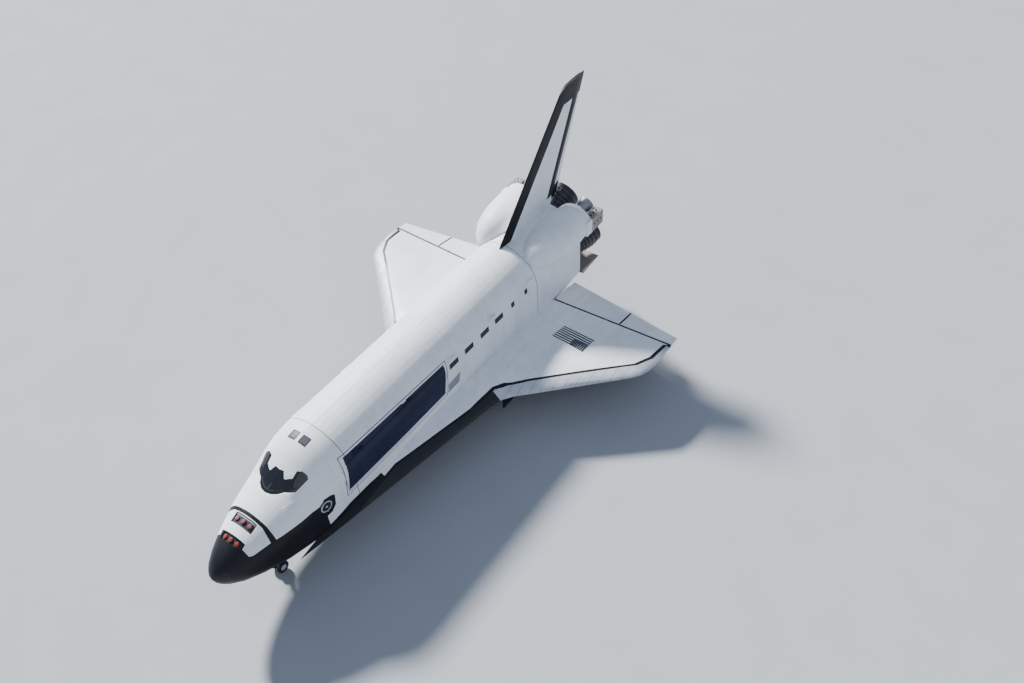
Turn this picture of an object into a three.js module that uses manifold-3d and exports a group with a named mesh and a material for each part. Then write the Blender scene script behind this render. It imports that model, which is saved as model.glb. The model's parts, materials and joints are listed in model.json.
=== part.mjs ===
// Space shuttle orbiter parked level on its landing gear, as a full-size exhibit.
// Millimetres. +X points to the nose, +Y to port and +Z up. z = 0 is the ground
// under the tyres and the origin lies below the middle of the overall box.
// Stations are distances aft of the nose tip; aft() turns a station into x.

import * as THREE from 'three';
import { mergeVertices } from 'three/addons/utils/BufferGeometryUtils.js';
import Module from 'manifold-3d';

const wasm = await Module();
wasm.setup();

// Overall sizes
const LENGTH = 37237;
const HALF_SPAN = 11895;
const FIT_GAP = 0.3;
const DEEP = 40000;

// Fuselage break stations
const NOSE_CAP_END = 620;
const CABIN_END = 8788;
const BAY_END = 27203;
const BASE_STATION = 32614;

// Fuselage sections, each a flat bottom with round corners, upright sides and
// an elliptic top. Columns: station, half width, bottom z, shoulder z, top z,
// corner radius.
const HULL_SECTIONS = [
  [0, 80, 4060, 4140, 4220, 60],
  [60, 300, 3860, 4120, 4420, 240],
  [220, 540, 3630, 4090, 4640, 400],
  [500, 830, 3420, 4050, 4870, 560],
  [1118, 1219, 3175, 4060, 5258, 650],
  [2134, 1651, 2972, 4250, 5740, 720],
  [3607, 2108, 2819, 4550, 6274, 720],
  [4928, 2362, 2743, 4850, 6655, 680],
  [5309, 2413, 2730, 4950, 6740, 660],
  [6833, 2560, 2670, 5350, 7772, 600],
  [7595, 2600, 2640, 5550, 8077, 560],
  [CABIN_END, 2610, 2616, 5715, 8255, 520],
  [11786, 2610, 2489, 5715, 8255, 480],
  [16866, 2610, 2362, 5715, 8255, 480],
  [21946, 2610, 2337, 5715, 8255, 480],
  [BAY_END, 2610, 2464, 5715, 8255, 480],
  [BASE_STATION, 2620, 2860, 5715, 8255, 480],
];
const HINGE_SIDES = 16;
const HUB_SIDES = 8;
const HINGE_DEPTH = 6000;
const ROD_SIDES = 14;
const CORNER_STEPS = 3;
const TOP_STEPS = 10;

// Thruster module, the removable top of the nose
const NOSE_MODULE = { back: 3440, floor: 4300 };

// Crew cabin, in a lower and an upper half
const CABIN_START = 4600;
const CABIN_SPLIT = 6250;
const CABIN_WALL = 180;
const CABIN_FRONT = 5500;
const CABIN_BACK = 8500;
const LOWER_DECK = [3450, 6150];
const UPPER_DECK = [6350, 9000];
const DECK_HATCH = 700;
const WINDOW_PANE = 60;
const WINDOW_OVERCUT = 20;
// Windshield in side view, (station, z), with a low point under each side pane
const WINDSHIELD_SIDE = [
  [4700, 6590], [5640, 6590], [6500, 6960], [6600, 7120], [6580, 7290],
  [6385, 7300], [6000, 7215], [5900, 8400], [4700, 8400],
];
const OVERHEAD_WINDOW = { front: 7540, back: 8070, inner: 140, outer: 690 };

// Side hatch of the crew cabin, round, hinged along its lower edge
const HATCH = { station: 6500, height: 5055, radius: 508, thickness: 130, gap: 12 };
const HATCH_HINGE = { drop: 555, out: 2607, radius: 28, lugs: [-150, 40], lugLength: 90, lugPitch: 90.3 };
const FIXED_LUG_ARM = [[0, -22], [0, 22], [-150, -20], [-150, -90]];
const MOVING_LUG_ARM = [[-22, -10], [22, 0], [0, 160], [-150, 200], [-150, 130], [-45, 100]];

// Thruster panels on top of the nose. Columns: name, front station, back
// station, half width.
const THRUSTER_PANELS = [
  ['thruster_panel_front', 1690, 2055, 740],
  ['thruster_panel_rear', 2640, 3200, 800],
];
const THRUSTER_RECESS = 110;
const THRUSTER_PLATE = 40;
const THRUSTER_COVER = 150;
const THRUSTER_LIFT = 50;
const THRUSTER_SPREAD = 0.62;

// Payload bay and its doors
const SILL = 6700;
const LONGERON_DEPTH = 70;
const BAY_RADIUS = 2250;
const BAY_CENTRE = 5715;
const BAY_STEPS = 15;
const DOOR_THICKNESS = 150;
const DOOR_GAP = 8;
const DOOR_HINGE = { y: 2491, z: SILL, radius: 45 };
const DOOR_HINGE_COUNT = 5;
const DOOR_HINGE_LENGTH = 360;

// Signboard along the port side, following the skin
const BOARD = { front: 8130, back: 17350, bottom: 4600, top: 6560, thickness: 35 };

// Wing. Columns: y, leading edge station, nose z, bottom z, top z, nose power.
const WING_STATIONS = [
  [2350, 3925, 2850, 2337, 3962, 0.8],
  [2900, 7397, 2850, 2345, 3950, 0.8],
  [3600, 11817, 2860, 2365, 3900, 0.8],
  [4300, 16237, 2890, 2410, 3840, 0.75],
  [4700, 18700, 2920, 2450, 3805, 0.7],
  [4950, 19520, 2950, 2485, 3785, 0.62],
  [5400, 20132, 2975, 2535, 3770, 0.58],
  [7950, 22450, 3130, 2810, 3730, 0.55],
  [10160, 24480, 3270, 3040, 3690, 0.55],
  [11100, 25345, 3335, 3150, 3665, 0.55],
  [11500, 25800, 3370, 3200, 3640, 0.55],
  [11750, 26400, 3385, 3250, 3610, 0.55],
  [HALF_SPAN, 27300, 3400, 3300, 3570, 0.55],
];
const WING_NOSE_STEPS = [0.02, 0.08, 0.2, 0.42, 0.7, 1];
const WING_TAIL_STEPS = [0.35, 0.7, 1];
const WING_PEAK = 0.55;
const ROOT_TRAILING = 32233;
const TRAILING_SWEEP = 0.1806;
const TRAILING_EDGE = 16;
const TRAILING_DROP = 90;

// Inner border of the leading-edge panels in plan. Columns: station, y.
const LEADING_BORDER = [
  [11600, 2990], [17500, 4150], [19650, 4420], [20450, 4830],
  [21550, 5852], [23950, 8428], [26300, 11000], [27350, 11560], [28900, 11690],
];

// Elevon hinge line, shared by both elevons of a wing
const ELEVON_HINGE = { station: 29235, rootY: 2667, rootZ: 2845, slope: 0.0606 };
const ELEVON_NOSE = { root: 280, taper: 0.01952 };
const ELEVON_GAP = 12;
const ELEVON_LIP = 0.62;
const ELEVON_LUGS = [3500, 6900, 8700, 10900];
const ELEVONS = [
  ['elevon_inboard', 2710, 7930],
  ['elevon_outboard', 7970, 12400],
];

// Hinge lugs that carry the elevons and the body flap on round pins
const LUG_WIDTH = 100;
const LUG_SHARE = 0.5;
const LUG_ARM_SHARE = 0.33;
const LUG_SLACK = 10;
const LUG_PIN = 26;
const LUG_PIN_REACH = 60;

// Fin and rudder, in side view. The rudder line is the hinge of both panels.
const FIN = {
  rootZ: 7600, tipZ: 16281, rootLeading: 26650, leadingSlope: 0.9842,
  rootTrailing: 33325, trailingSlope: 0.4874, baseZ: 8255, tipCorner: 34100,
};
const FIN_TIP_DROP = 420;
// Underside of the fin behind the fuselage, clear of the upper nozzle
const FIN_HEEL = [[32613, 8350], [33600, 8840], [34400, 8840], [34400, 7000], [32613, 7000]];
const RUDDER_BOTTOM = { station: 32580, z: 9300 };
const RUDDER_TOP = { station: 35662, z: 14660 };
const RUDDER_NOSE = { bottom: 230, top: 150 };
const RUDDER_GAP = 12;
const RUDDER_POST = 30;
const RUDDER_POST_SEAT = 90;
const RUDDER_SPLIT = 6;
const RUDDER_LIP = 0.9;
const FIN_EDGE = 12;
// Fin half profile. Columns: share of the way to the hinge, share of the half thickness.
const FIN_PROFILE = [[0.02, 0.26], [0.1, 0.5], [0.35, 0.84], [0.7, 0.98], [1, 1]];
const RUDDER_SECTOR = THREE.MathUtils.degToRad(36);
const RUDDER_WRAP = THREE.MathUtils.degToRad(16);

// Body flap below the engines
const FLAP_LUGS = [-1950, 1850];
const FLAP = { station: 32950, z: 2960, nose: 185, half: 2700, chord: 2057, edge: 60 };

// Pods on the aft shoulders. Columns: station, centre y, centre z, half width,
// half height.
const POD_SECTIONS = [
  [27240, 1900, 7420, 420, 420],
  [27700, 1960, 7560, 850, 860],
  [28500, 2010, 7660, 1230, 1160],
  [29700, 2080, 7720, 1480, 1310],
  [31300, 2160, 7790, 1500, 1300],
  [32600, 2235, 7880, 1330, 1180],
];
const POD_STEPS = 24;
const POD_HOUSING = { front: 31900, back: 33950, inner: 2990, outer: 3640, bottom: 7250, top: 8350 };

// Rocket nozzles. Profile columns: distance aft of the mounting, radius.
const MAIN_NOZZLE_PROFILE = [[1550, 420], [1750, 580], [2000, 690], [2600, 900], [3300, 1070], [4000, 1195]];
const POD_NOZZLE_PROFILE = [[-400, 190], [0, 200], [250, 330], [700, 480], [1250, 580]];
const NOZZLE_WALL = 60;
const NOZZLE_SLACK = 20;
const NOZZLE_SIDES = 20;
// Columns: name, station, y, z, pitch in degrees, outward turn in degrees.
const MAIN_NOZZLES = [
  ['main_nozzle_upper', 30709, 0, 6807, 16, 0],
  ['main_nozzle_left', 31293, 1346, 4267, 10, 3.5],
  ['main_nozzle_right', 31293, -1346, 4267, 10, -3.5],
];
const POD_NOZZLE = { station: 32760, y: 2235, z: 8000, pitch: 15, turn: 3 };
const ENGINE_DOME = { radius: 900, neck: 700, depth: 350, root: 300 };

// Landing gear. All tyres stand on z = 0.
const NOSE_GEAR = {
  station: 3785, y: 0, tyre: 406, width: 224, rim: 190, spacing: 280, axle: 45,
  strut: 110, piston: 72, hub: 105, collar: 1450, top: 3700,
};
const MAIN_GEAR = {
  station: 23774, y: 3454, tyre: 565, width: 400, rim: 280, spacing: 470, axle: 70,
  strut: 150, piston: 105, hub: 150, collar: 1250, top: 3350,
};
const NOSE_WELL = { front: 1750, back: 4100, half: 500, roof: 3700 };
const MAIN_WELL = { front: 20422, back: 24300, inner: 2720, outer: 4290, roof: 3350 };
const GEAR_DOOR = { thickness: 55, noseDrop: 560, mainBottom: 850 };
const WHEEL_SIDES = 20;
const RIM_SIDES = 20;

// Flat round pads under the belly. Columns: place, station, y, z of the flat face.
const BELLY_PADS = [['forward', 7000, 0, 2620], ['aft', 27800, 1950, 2460], ['aft', 27800, -1950, 2460]];
const PAD_RADIUS = 220;
const PAD_ROOT = 200;

// Finishes, one fresh material for each piece
const FINISHES = {
  whiteTile: { color: 0xe6e7e6, roughness: 0.6, metalness: 0.0 },
  blackTile: { color: 0x23272f, roughness: 0.65, metalness: 0.0 },
  edgePanel: { color: 0xc9ccd0, roughness: 0.5, metalness: 0.0 },
  glass: { color: 0x0d1014, roughness: 0.12, metalness: 0.0 },
  darkMetal: { color: 0x3c3f44, roughness: 0.45, metalness: 0.8 },
  gearMetal: { color: 0xb9bcc0, roughness: 0.4, metalness: 0.6 },
  rubber: { color: 0x1a1a1b, roughness: 0.85, metalness: 0.0 },
  board: { color: 0x1d2440, roughness: 0.5, metalness: 0.0 },
  flapBrown: { color: 0x6e655e, roughness: 0.7, metalness: 0.0 },
};

const group = new THREE.Group();
const LATHE_AXIS = new THREE.Vector3(0, 1, 0);

function aft(station) {
  return LENGTH / 2 - station;
}

function at(station, y, z) {
  return new THREE.Vector3(aft(station), y, z);
}

// Solids and the joins and cuts between them

function signedVolume(position, faces) {
  const corner = (i) => new THREE.Vector3().fromBufferAttribute(position, faces[i]);
  let total = 0;
  for (let i = 0; i < faces.length; i += 3) {
    total += corner(i).dot(corner(i + 1).cross(corner(i + 2)));
  }
  return total / 6;
}

function solidOf(geometry) {
  const bare = geometry.clone();
  bare.deleteAttribute('normal');
  bare.deleteAttribute('uv');
  const merged = mergeVertices(bare);
  const corners = merged.index.array;
  const faces = [];
  for (let i = 0; i < corners.length; i += 3) {
    const [a, b, c] = corners.slice(i, i + 3);
    if (a !== b && b !== c && c !== a) faces.push(a, b, c);
  }
  if (signedVolume(merged.attributes.position, faces) < 0) faces.reverse();
  const vertProperties = new Float32Array(merged.attributes.position.array);
  return new wasm.Manifold(new wasm.Mesh({ numProp: 3, vertProperties, triVerts: new Uint32Array(faces) }));
}

function geometryOf(body) {
  const mesh = body.getMesh();
  const geometry = new THREE.BufferGeometry();
  geometry.setAttribute('position', new THREE.BufferAttribute(mesh.vertProperties, 3));
  geometry.setIndex(new THREE.BufferAttribute(mesh.triVerts, 1));
  const flat = geometry.toNonIndexed();
  flat.computeVertexNormals();
  return flat;
}

function join(first, ...rest) {
  return rest.reduce((body, other) => body.add(other), first);
}

function cut(first, ...rest) {
  return rest.reduce((body, other) => body.subtract(other), first);
}

function common(first, ...rest) {
  return rest.reduce((body, other) => body.intersect(other), first);
}

function shifted(body, x, y, z) {
  return solidOf(geometryOf(body).translate(x, y, z));
}

// The same body on the other side of the centreline
function mirrored(body) {
  const geometry = geometryOf(body).scale(1, -1, 1);
  const position = geometry.attributes.position;
  const swap = new THREE.Vector3();
  const keep = new THREE.Vector3();
  for (let i = 0; i < position.count; i += 3) {
    keep.fromBufferAttribute(position, i + 1);
    swap.fromBufferAttribute(position, i + 2);
    position.setXYZ(i + 1, swap.x, swap.y, swap.z);
    position.setXYZ(i + 2, keep.x, keep.y, keep.z);
  }
  return solidOf(geometry);
}

// Basic shapes

function block(frontStation, backStation, y0, y1, z0, z1) {
  const geometry = new THREE.BoxGeometry(backStation - frontStation, y1 - y0, z1 - z0);
  geometry.translate(aft((frontStation + backStation) / 2), (y0 + y1) / 2, (z0 + z1) / 2);
  return solidOf(geometry);
}

function rod(from, to, radiusFrom, radiusTo = radiusFrom, sides = ROD_SIDES, turn = 0) {
  const axis = new THREE.Vector3().subVectors(to, from);
  const geometry = new THREE.CylinderGeometry(radiusTo, radiusFrom, axis.length(), sides, 1, false, turn);
  geometry.applyQuaternion(new THREE.Quaternion().setFromUnitVectors(LATHE_AXIS, axis.clone().normalize()));
  geometry.translate((from.x + to.x) / 2, (from.y + to.y) / 2, (from.z + to.z) / 2);
  return solidOf(geometry);
}

// A many-sided bore in which a rod of the same sides can turn. Its flats face the
// rod's corners, so the rod sits at the fit gap.
function bore(from, to, pinRadius) {
  const radius = (pinRadius + FIT_GAP) / Math.cos(Math.PI / ROD_SIDES);
  return rod(from, to, radius, radius, ROD_SIDES, Math.PI / ROD_SIDES);
}

function extruded(points, depth, right, up, origin) {
  const shape = new THREE.Shape(points.map(([u, v]) => new THREE.Vector2(u, v)));
  const geometry = new THREE.ExtrudeGeometry(shape, { depth, bevelEnabled: false });
  const normal = new THREE.Vector3().crossVectors(right, up);
  geometry.applyMatrix4(new THREE.Matrix4().makeBasis(right, up, normal).setPosition(origin));
  return solidOf(geometry);
}

// A prism with an outline of (station, z) points between two y values
function sidePrism(outline, y0, y1) {
  const points = outline.map(([station, z]) => [aft(station), z]);
  return extruded(points, y1 - y0, new THREE.Vector3(1, 0, 0), new THREE.Vector3(0, 0, 1),
    new THREE.Vector3(0, y1, 0));
}

// A prism with an outline of (station, y) points between two z values
function planPrism(outline, z0, z1) {
  const points = outline.map(([station, y]) => [aft(station), y]);
  return extruded(points, z1 - z0, new THREE.Vector3(1, 0, 0), new THREE.Vector3(0, 1, 0),
    new THREE.Vector3(0, 0, z0));
}

// A prism with an outline of (y, z) points between two stations
function frontPrism(outline, frontStation, backStation) {
  return extruded(outline, backStation - frontStation, new THREE.Vector3(0, 1, 0),
    new THREE.Vector3(0, 0, 1), new THREE.Vector3(aft(backStation), 0, 0));
}

// Area of a ring seen along its most square axis, with the two axes it is seen on
function flattened(ring) {
  const normal = new THREE.Vector3();
  ring.forEach((point, i) => {
    const next = ring[(i + 1) % ring.length];
    normal.add(new THREE.Vector3().crossVectors(point, next));
  });
  const size = [Math.abs(normal.x), Math.abs(normal.y), Math.abs(normal.z)];
  const drop = size.indexOf(Math.max(...size));
  const axes = ['x', 'y', 'z'].filter((_, i) => i !== drop);
  return ring.map((point) => new THREE.Vector2(point[axes[0]], point[axes[1]]));
}

function capFaces(ring, offset, reverse) {
  const contour = flattened(ring);
  const turn = Math.sign(THREE.ShapeUtils.area(contour)) * (reverse ? -1 : 1);
  return THREE.ShapeUtils.triangulateShape(contour, []).flatMap(([a, b, c]) => {
    const turned = Math.sign(THREE.ShapeUtils.area([contour[a], contour[b], contour[c]]));
    const order = turned === turn ? [a, b, c] : [a, c, b];
    return order.map((i) => i + offset);
  });
}

// Skin through rings with the same number of points, closed flat at both ends.
// Each face is split along its shorter diagonal, so both sides of a body match.
function loft(rings) {
  const count = rings[0].length;
  const points = rings.flat();
  const last = (rings.length - 1) * count;
  const faces = [...capFaces(rings[0], 0, true), ...capFaces(rings[rings.length - 1], last, false)];
  for (let start = 0; start < last; start += count) {
    for (let i = 0; i < count; i += 1) {
      const a = start + i;
      const b = start + ((i + 1) % count);
      const rising = points[a].distanceTo(points[b + count]);
      const falling = points[b].distanceTo(points[a + count]);
      if (rising < falling) faces.push(a, b, b + count, a, b + count, a + count);
      else faces.push(a, b, a + count, b, b + count, a + count);
    }
  }
  const geometry = new THREE.BufferGeometry().setFromPoints(points);
  geometry.setIndex(faces);
  return solidOf(geometry);
}

// A turned body about a line from a point, its profile given as (along, radius)
function turned(profile, from, direction, sides) {
  const points = profile.map(([along, radius]) => new THREE.Vector2(radius, along));
  const geometry = new THREE.LatheGeometry(points, sides);
  geometry.applyQuaternion(new THREE.Quaternion().setFromUnitVectors(LATHE_AXIS, direction));
  geometry.translate(from.x, from.y, from.z);
  return solidOf(geometry);
}

function addPiece(name, body, finish) {
  const mesh = new THREE.Mesh(geometryOf(body), new THREE.MeshStandardMaterial(FINISHES[finish]));
  mesh.name = name;
  group.add(mesh);
}

function addPair(name, portBody, finish) {
  addPiece(`${name}_left`, portBody, finish);
  addPiece(`${name}_right`, mirrored(portBody), finish);
}

// Fuselage

function hullRing([station, half, bottom, shoulder, top, corner], grow) {
  const width = half + grow;
  const low = bottom - grow;
  const radius = corner + grow;
  const port = [];
  for (let i = 0; i <= CORNER_STEPS; i += 1) {
    const angle = (i / CORNER_STEPS) * Math.PI / 2;
    port.push([width - radius + radius * Math.sin(angle), low + radius - radius * Math.cos(angle)]);
  }
  for (let i = 0; i < TOP_STEPS; i += 1) {
    const angle = (i / TOP_STEPS) * Math.PI / 2;
    port.push([width * Math.cos(angle), shoulder + (top + grow - shoulder) * Math.sin(angle)]);
  }
  const starboard = port.map(([y, z]) => [-y, z]).reverse();
  const outline = [[0, low], ...port, [0, top + grow], ...starboard];
  return outline.map(([y, z]) => at(station, y, z));
}

function hull(grow, firstSection = 0) {
  return loft(HULL_SECTIONS.slice(firstSection).map((section) => hullRing(section, grow)));
}

const NOSE_FIRST_SECTION = 3;
const CABIN_FIRST_SECTION = 6;
const outerHull = hull(0);
const clearHull = hull(FIT_GAP);
const wallHull = hull(-CABIN_WALL, CABIN_FIRST_SECTION);
const paneHull = hull(-WINDOW_PANE, CABIN_FIRST_SECTION);
const windowFloor = hull(-CABIN_WALL - WINDOW_OVERCUT, CABIN_FIRST_SECTION);

function slab(front, back) {
  return block(front, back, -DEEP, DEEP, -DEEP, DEEP);
}

// The same outline with every edge moved outward by a gap
function grown(outline, gap) {
  const points = outline.map(([u, v]) => new THREE.Vector2(u, v));
  const turn = Math.sign(THREE.ShapeUtils.area(points));
  const outward = points.map((point, i) => {
    const edge = new THREE.Vector2().subVectors(points[(i + 1) % points.length], point).normalize();
    return new THREE.Vector2(edge.y * turn, -edge.x * turn);
  });
  return points.map((point, i) => {
    const before = outward[(i + points.length - 1) % points.length];
    const step = before.clone().add(outward[i]).multiplyScalar(gap / (1 + before.dot(outward[i])));
    return [point.x + step.x, point.y + step.y];
  });
}

function windowCutters(gap) {
  const windshield = sidePrism(grown(WINDSHIELD_SIDE, gap), -DEEP, DEEP);
  const { front, back, inner, outer } = OVERHEAD_WINDOW;
  const overhead = block(front - gap, back + gap, inner - gap, outer + gap, UPPER_DECK[0], DEEP);
  return [windshield, overhead, mirrored(overhead)];
}

function hatchPlug(radius, inset) {
  const from = at(HATCH.station, inset, HATCH.height);
  const to = at(HATCH.station, DEEP, HATCH.height);
  return rod(from, to, radius, radius, HINGE_SIDES);
}

const hatchAxis = {
  y: HATCH_HINGE.out,
  z: HATCH.height - HATCH_HINGE.drop,
};

// A barrel on the hatch hinge with an arm of (y, z) points measured from the axis
function hatchLug(stationOffset, armOutline) {
  const { lugLength, radius } = HATCH_HINGE;
  const front = HATCH.station + stationOffset - lugLength / 2;
  const back = front + lugLength;
  const barrel = rod(at(front, hatchAxis.y, hatchAxis.z), at(back, hatchAxis.y, hatchAxis.z), radius);
  const outline = armOutline.map(([y, z]) => [hatchAxis.y + y, hatchAxis.z + z]);
  return join(barrel, frontPrism(outline, front, back));
}

function thrusterRegion(front, back, half, gap) {
  return block(front - gap, back + gap, -half - gap, half + gap, 4500, DEEP);
}

function moduleRegion(gap) {
  return block(0, NOSE_MODULE.back + gap, -DEEP, DEEP, NOSE_MODULE.floor - gap, DEEP);
}

function buildForwardFuselage() {
  addPiece('nose_cap', common(outerHull, slab(-100, NOSE_CAP_END)), 'blackTile');

  const forward = common(outerHull, slab(NOSE_CAP_END + FIT_GAP, CABIN_END));
  const panelFloor = hull(-THRUSTER_RECESS, NOSE_FIRST_SECTION);
  const recesses = THRUSTER_PANELS.map(([, front, back, half]) => (
    cut(thrusterRegion(front, back, half, 0), panelFloor)
  ));
  addPiece('thruster_module', cut(common(forward, moduleRegion(0)), ...recesses), 'whiteTile');

  const { front: wellFront, back: wellBack, half: wellHalf, roof } = NOSE_WELL;
  const noseWell = block(wellFront, wellBack, -wellHalf, wellHalf, 0, roof);
  addPiece('nose_section', cut(common(forward, slab(0, CABIN_START)), moduleRegion(FIT_GAP), noseWell), 'whiteTile');

  const cabin = common(forward, slab(CABIN_START + FIT_GAP, CABIN_END));
  const deckHatch = block(CABIN_BACK - 1000, CABIN_BACK - 1000 + DECK_HATCH, -1500, -1500 + DECK_HATCH,
    LOWER_DECK[1] - 100, UPPER_DECK[0] + 100);
  const lowerDeck = common(wallHull, block(CABIN_FRONT, CABIN_BACK, -DEEP, DEEP, ...LOWER_DECK));
  const lowerHalf = common(cabin, block(0, LENGTH, -DEEP, DEEP, 0, CABIN_SPLIT));
  const { lugs, lugPitch } = HATCH_HINGE;
  const fixedLugs = lugs.map((offset) => hatchLug(offset + lugPitch, FIXED_LUG_ARM));
  const pads = BELLY_PADS.filter(([place]) => place === 'forward').map(bellyPad);
  const lowerShell = cut(lowerHalf, lowerDeck, deckHatch, hatchPlug(HATCH.radius + HATCH.gap, 1500));
  addPiece('cabin_lower', join(lowerShell, ...fixedLugs, ...pads), 'whiteTile');

  const upperDeck = common(wallHull, block(CABIN_FRONT, CABIN_BACK, -DEEP, DEEP, ...UPPER_DECK));
  const upperHalf = common(cabin, block(0, LENGTH, -DEEP, DEEP, CABIN_SPLIT + FIT_GAP, DEEP));
  const windowHoles = windowCutters(0).map((cutter) => cut(cutter, windowFloor));
  addPiece('cabin_upper', cut(upperHalf, upperDeck, deckHatch, ...windowHoles), 'whiteTile');

  const [windshield, overhead] = windowCutters(-FIT_GAP);
  addPiece('windshield', common(cut(outerHull, paneHull), windshield), 'glass');
  addPair('overhead_window', common(cut(outerHull, paneHull), overhead), 'glass');

  THRUSTER_PANELS.forEach(([name, front, back, half]) => {
    const plateTop = hull(THRUSTER_PLATE - THRUSTER_RECESS, NOSE_FIRST_SECTION);
    const plateFloor = hull(FIT_GAP - THRUSTER_RECESS, NOSE_FIRST_SECTION);
    let plate = common(cut(plateTop, plateFloor), thrusterRegion(front, back, half, -FIT_GAP));
    const middle = (front + back) / 2;
    [-1, 0, 1].forEach((column) => {
      const y = column * half * THRUSTER_SPREAD;
      const cover = rod(at(middle, y, 4000), at(middle, y, DEEP), THRUSTER_COVER, THRUSTER_COVER, 12);
      const coverTop = hull(THRUSTER_PLATE + THRUSTER_LIFT - THRUSTER_RECESS, NOSE_FIRST_SECTION);
      plate = join(plate, common(cut(coverTop, plateFloor), cover));
    });
    addPiece(name, plate, 'darkMetal');
  });

  const hatchBody = cut(common(outerHull, hatchPlug(HATCH.radius, 1500)), hull(-HATCH.thickness, CABIN_FIRST_SECTION));
  const movingLugs = lugs.map((offset) => hatchLug(offset, MOVING_LUG_ARM));
  addPiece('crew_hatch', join(hatchBody, ...movingLugs), 'blackTile');
}

function bellyPad([, station, y, z]) {
  return rod(at(station, y, z), at(station, y, z + PAD_ROOT), PAD_RADIUS);
}

// Middle fuselage, payload bay and doors

function bayRegion() {
  const outline = [];
  for (let i = 0; i <= BAY_STEPS; i += 1) {
    const angle = Math.PI + (i / BAY_STEPS) * Math.PI;
    outline.push([BAY_RADIUS * Math.cos(angle), BAY_CENTRE + BAY_RADIUS * Math.sin(angle)]);
  }
  outline.push([BAY_RADIUS, DEEP], [-BAY_RADIUS, DEEP]);
  return frontPrism(outline, CABIN_END - 500, BAY_END + 500);
}

function doorLug(front, armSide) {
  const { y, z, radius } = DOOR_HINGE;
  const back = front + DOOR_HINGE_LENGTH;
  const barrel = rod(at(front, y, z), at(back, y, z), radius, radius, 12);
  const armOutline = armSide > 0
    ? [[y + 10, z + 40], [y - 10, z - 20], [y - 125, z + 60], [y - 195, z + 160], [y - 150, z + 190]]
    : [[y + 40, z - 10], [y - 10, z + 20], [y - 80, z - 14], [y - 80, z - LONGERON_DEPTH], [y + 20, z - 40]];
  return join(barrel, frontPrism(armOutline, front, back));
}

function doorHingeStations() {
  const first = CABIN_END + 500;
  const pitch = (BAY_END - CABIN_END - 1500) / (DOOR_HINGE_COUNT - 1);
  return Array.from({ length: DOOR_HINGE_COUNT }, (_, i) => first + i * pitch);
}

function buildMiddleFuselage() {
  const barrel = common(outerHull, slab(CABIN_END + FIT_GAP, BAY_END - FIT_GAP));
  const bay = bayRegion();
  const walls = cut(barrel, bay);
  const ledge = SILL - LONGERON_DEPTH;
  addPiece('middle_fuselage', cut(walls, block(0, LENGTH, -DEEP, DEEP, ledge, DEEP)), 'whiteTile');

  let longeron = common(walls, block(0, LENGTH, 0, DEEP, ledge + FIT_GAP, SILL));
  let door = cut(outerHull, hull(-DOOR_THICKNESS, CABIN_FIRST_SECTION));
  door = common(door, block(CABIN_END + DOOR_GAP, BAY_END - DOOR_GAP, DOOR_GAP / 2, DEEP, SILL + DOOR_GAP, DEEP));
  doorHingeStations().forEach((station) => {
    door = join(door, doorLug(station, 1));
    longeron = join(longeron, doorLug(station + DOOR_HINGE_LENGTH + FIT_GAP, -1));
  });
  addPair('sill_longeron', longeron, 'edgePanel');
  addPair('payload_door', door, 'whiteTile');

  const boardSkin = cut(hull(BOARD.thickness, CABIN_FIRST_SECTION), hull(FIT_GAP, CABIN_FIRST_SECTION));
  const boardRegion = block(BOARD.front, BOARD.back, 0, DEEP, BOARD.bottom, BOARD.top);
  addPiece('sign_board', common(boardSkin, boardRegion), 'board');
}

// Hinge lugs. A hinge gives its axis point and nose radius at any y, and the
// slab between two planes square to the axis.

function hingeLug(hinge, y, reach) {
  const radius = hinge.radius(y) * LUG_SHARE;
  const centre = hinge.point(y);
  const half = hinge.radius(y) * LUG_ARM_SHARE;
  const station = LENGTH / 2 - centre.x;
  const arm = sidePrism([[station - reach, centre.z - half], [station - reach, centre.z + half],
    [station, centre.z + half], [station, centre.z - half]], y - LUG_WIDTH, y + 2 * LUG_WIDTH);
  const hub = rod(hinge.point(y - LUG_WIDTH), hinge.point(y + 2 * LUG_WIDTH), radius, radius, HUB_SIDES);
  const pin = rod(hinge.point(y - LUG_PIN_REACH), hinge.point(y + LUG_WIDTH + LUG_PIN_REACH), LUG_PIN);
  return join(common(join(arm, hub), hinge.band(y, y + LUG_WIDTH)), pin);
}

// What a moving piece leaves free for a lug and its pin
function lugSlot(hinge, y) {
  const radius = (hinge.radius(y) * LUG_SHARE + LUG_SLACK) / Math.cos(Math.PI / HUB_SIDES);
  const hub = rod(hinge.point(y - LUG_WIDTH), hinge.point(y + 2 * LUG_WIDTH), radius, radius, HUB_SIDES);
  const front = shifted(hinge.aftBand(y - LUG_SLACK, y + LUG_WIDTH + LUG_SLACK), HINGE_DEPTH, 0, 0);
  const pocket = join(common(hub, hinge.band(y - LUG_SLACK, y + LUG_WIDTH + LUG_SLACK)), front);
  const reach = LUG_PIN_REACH + 1;
  return join(pocket, bore(hinge.point(y - reach), hinge.point(y + LUG_WIDTH + reach), LUG_PIN));
}

// Wings

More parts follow.
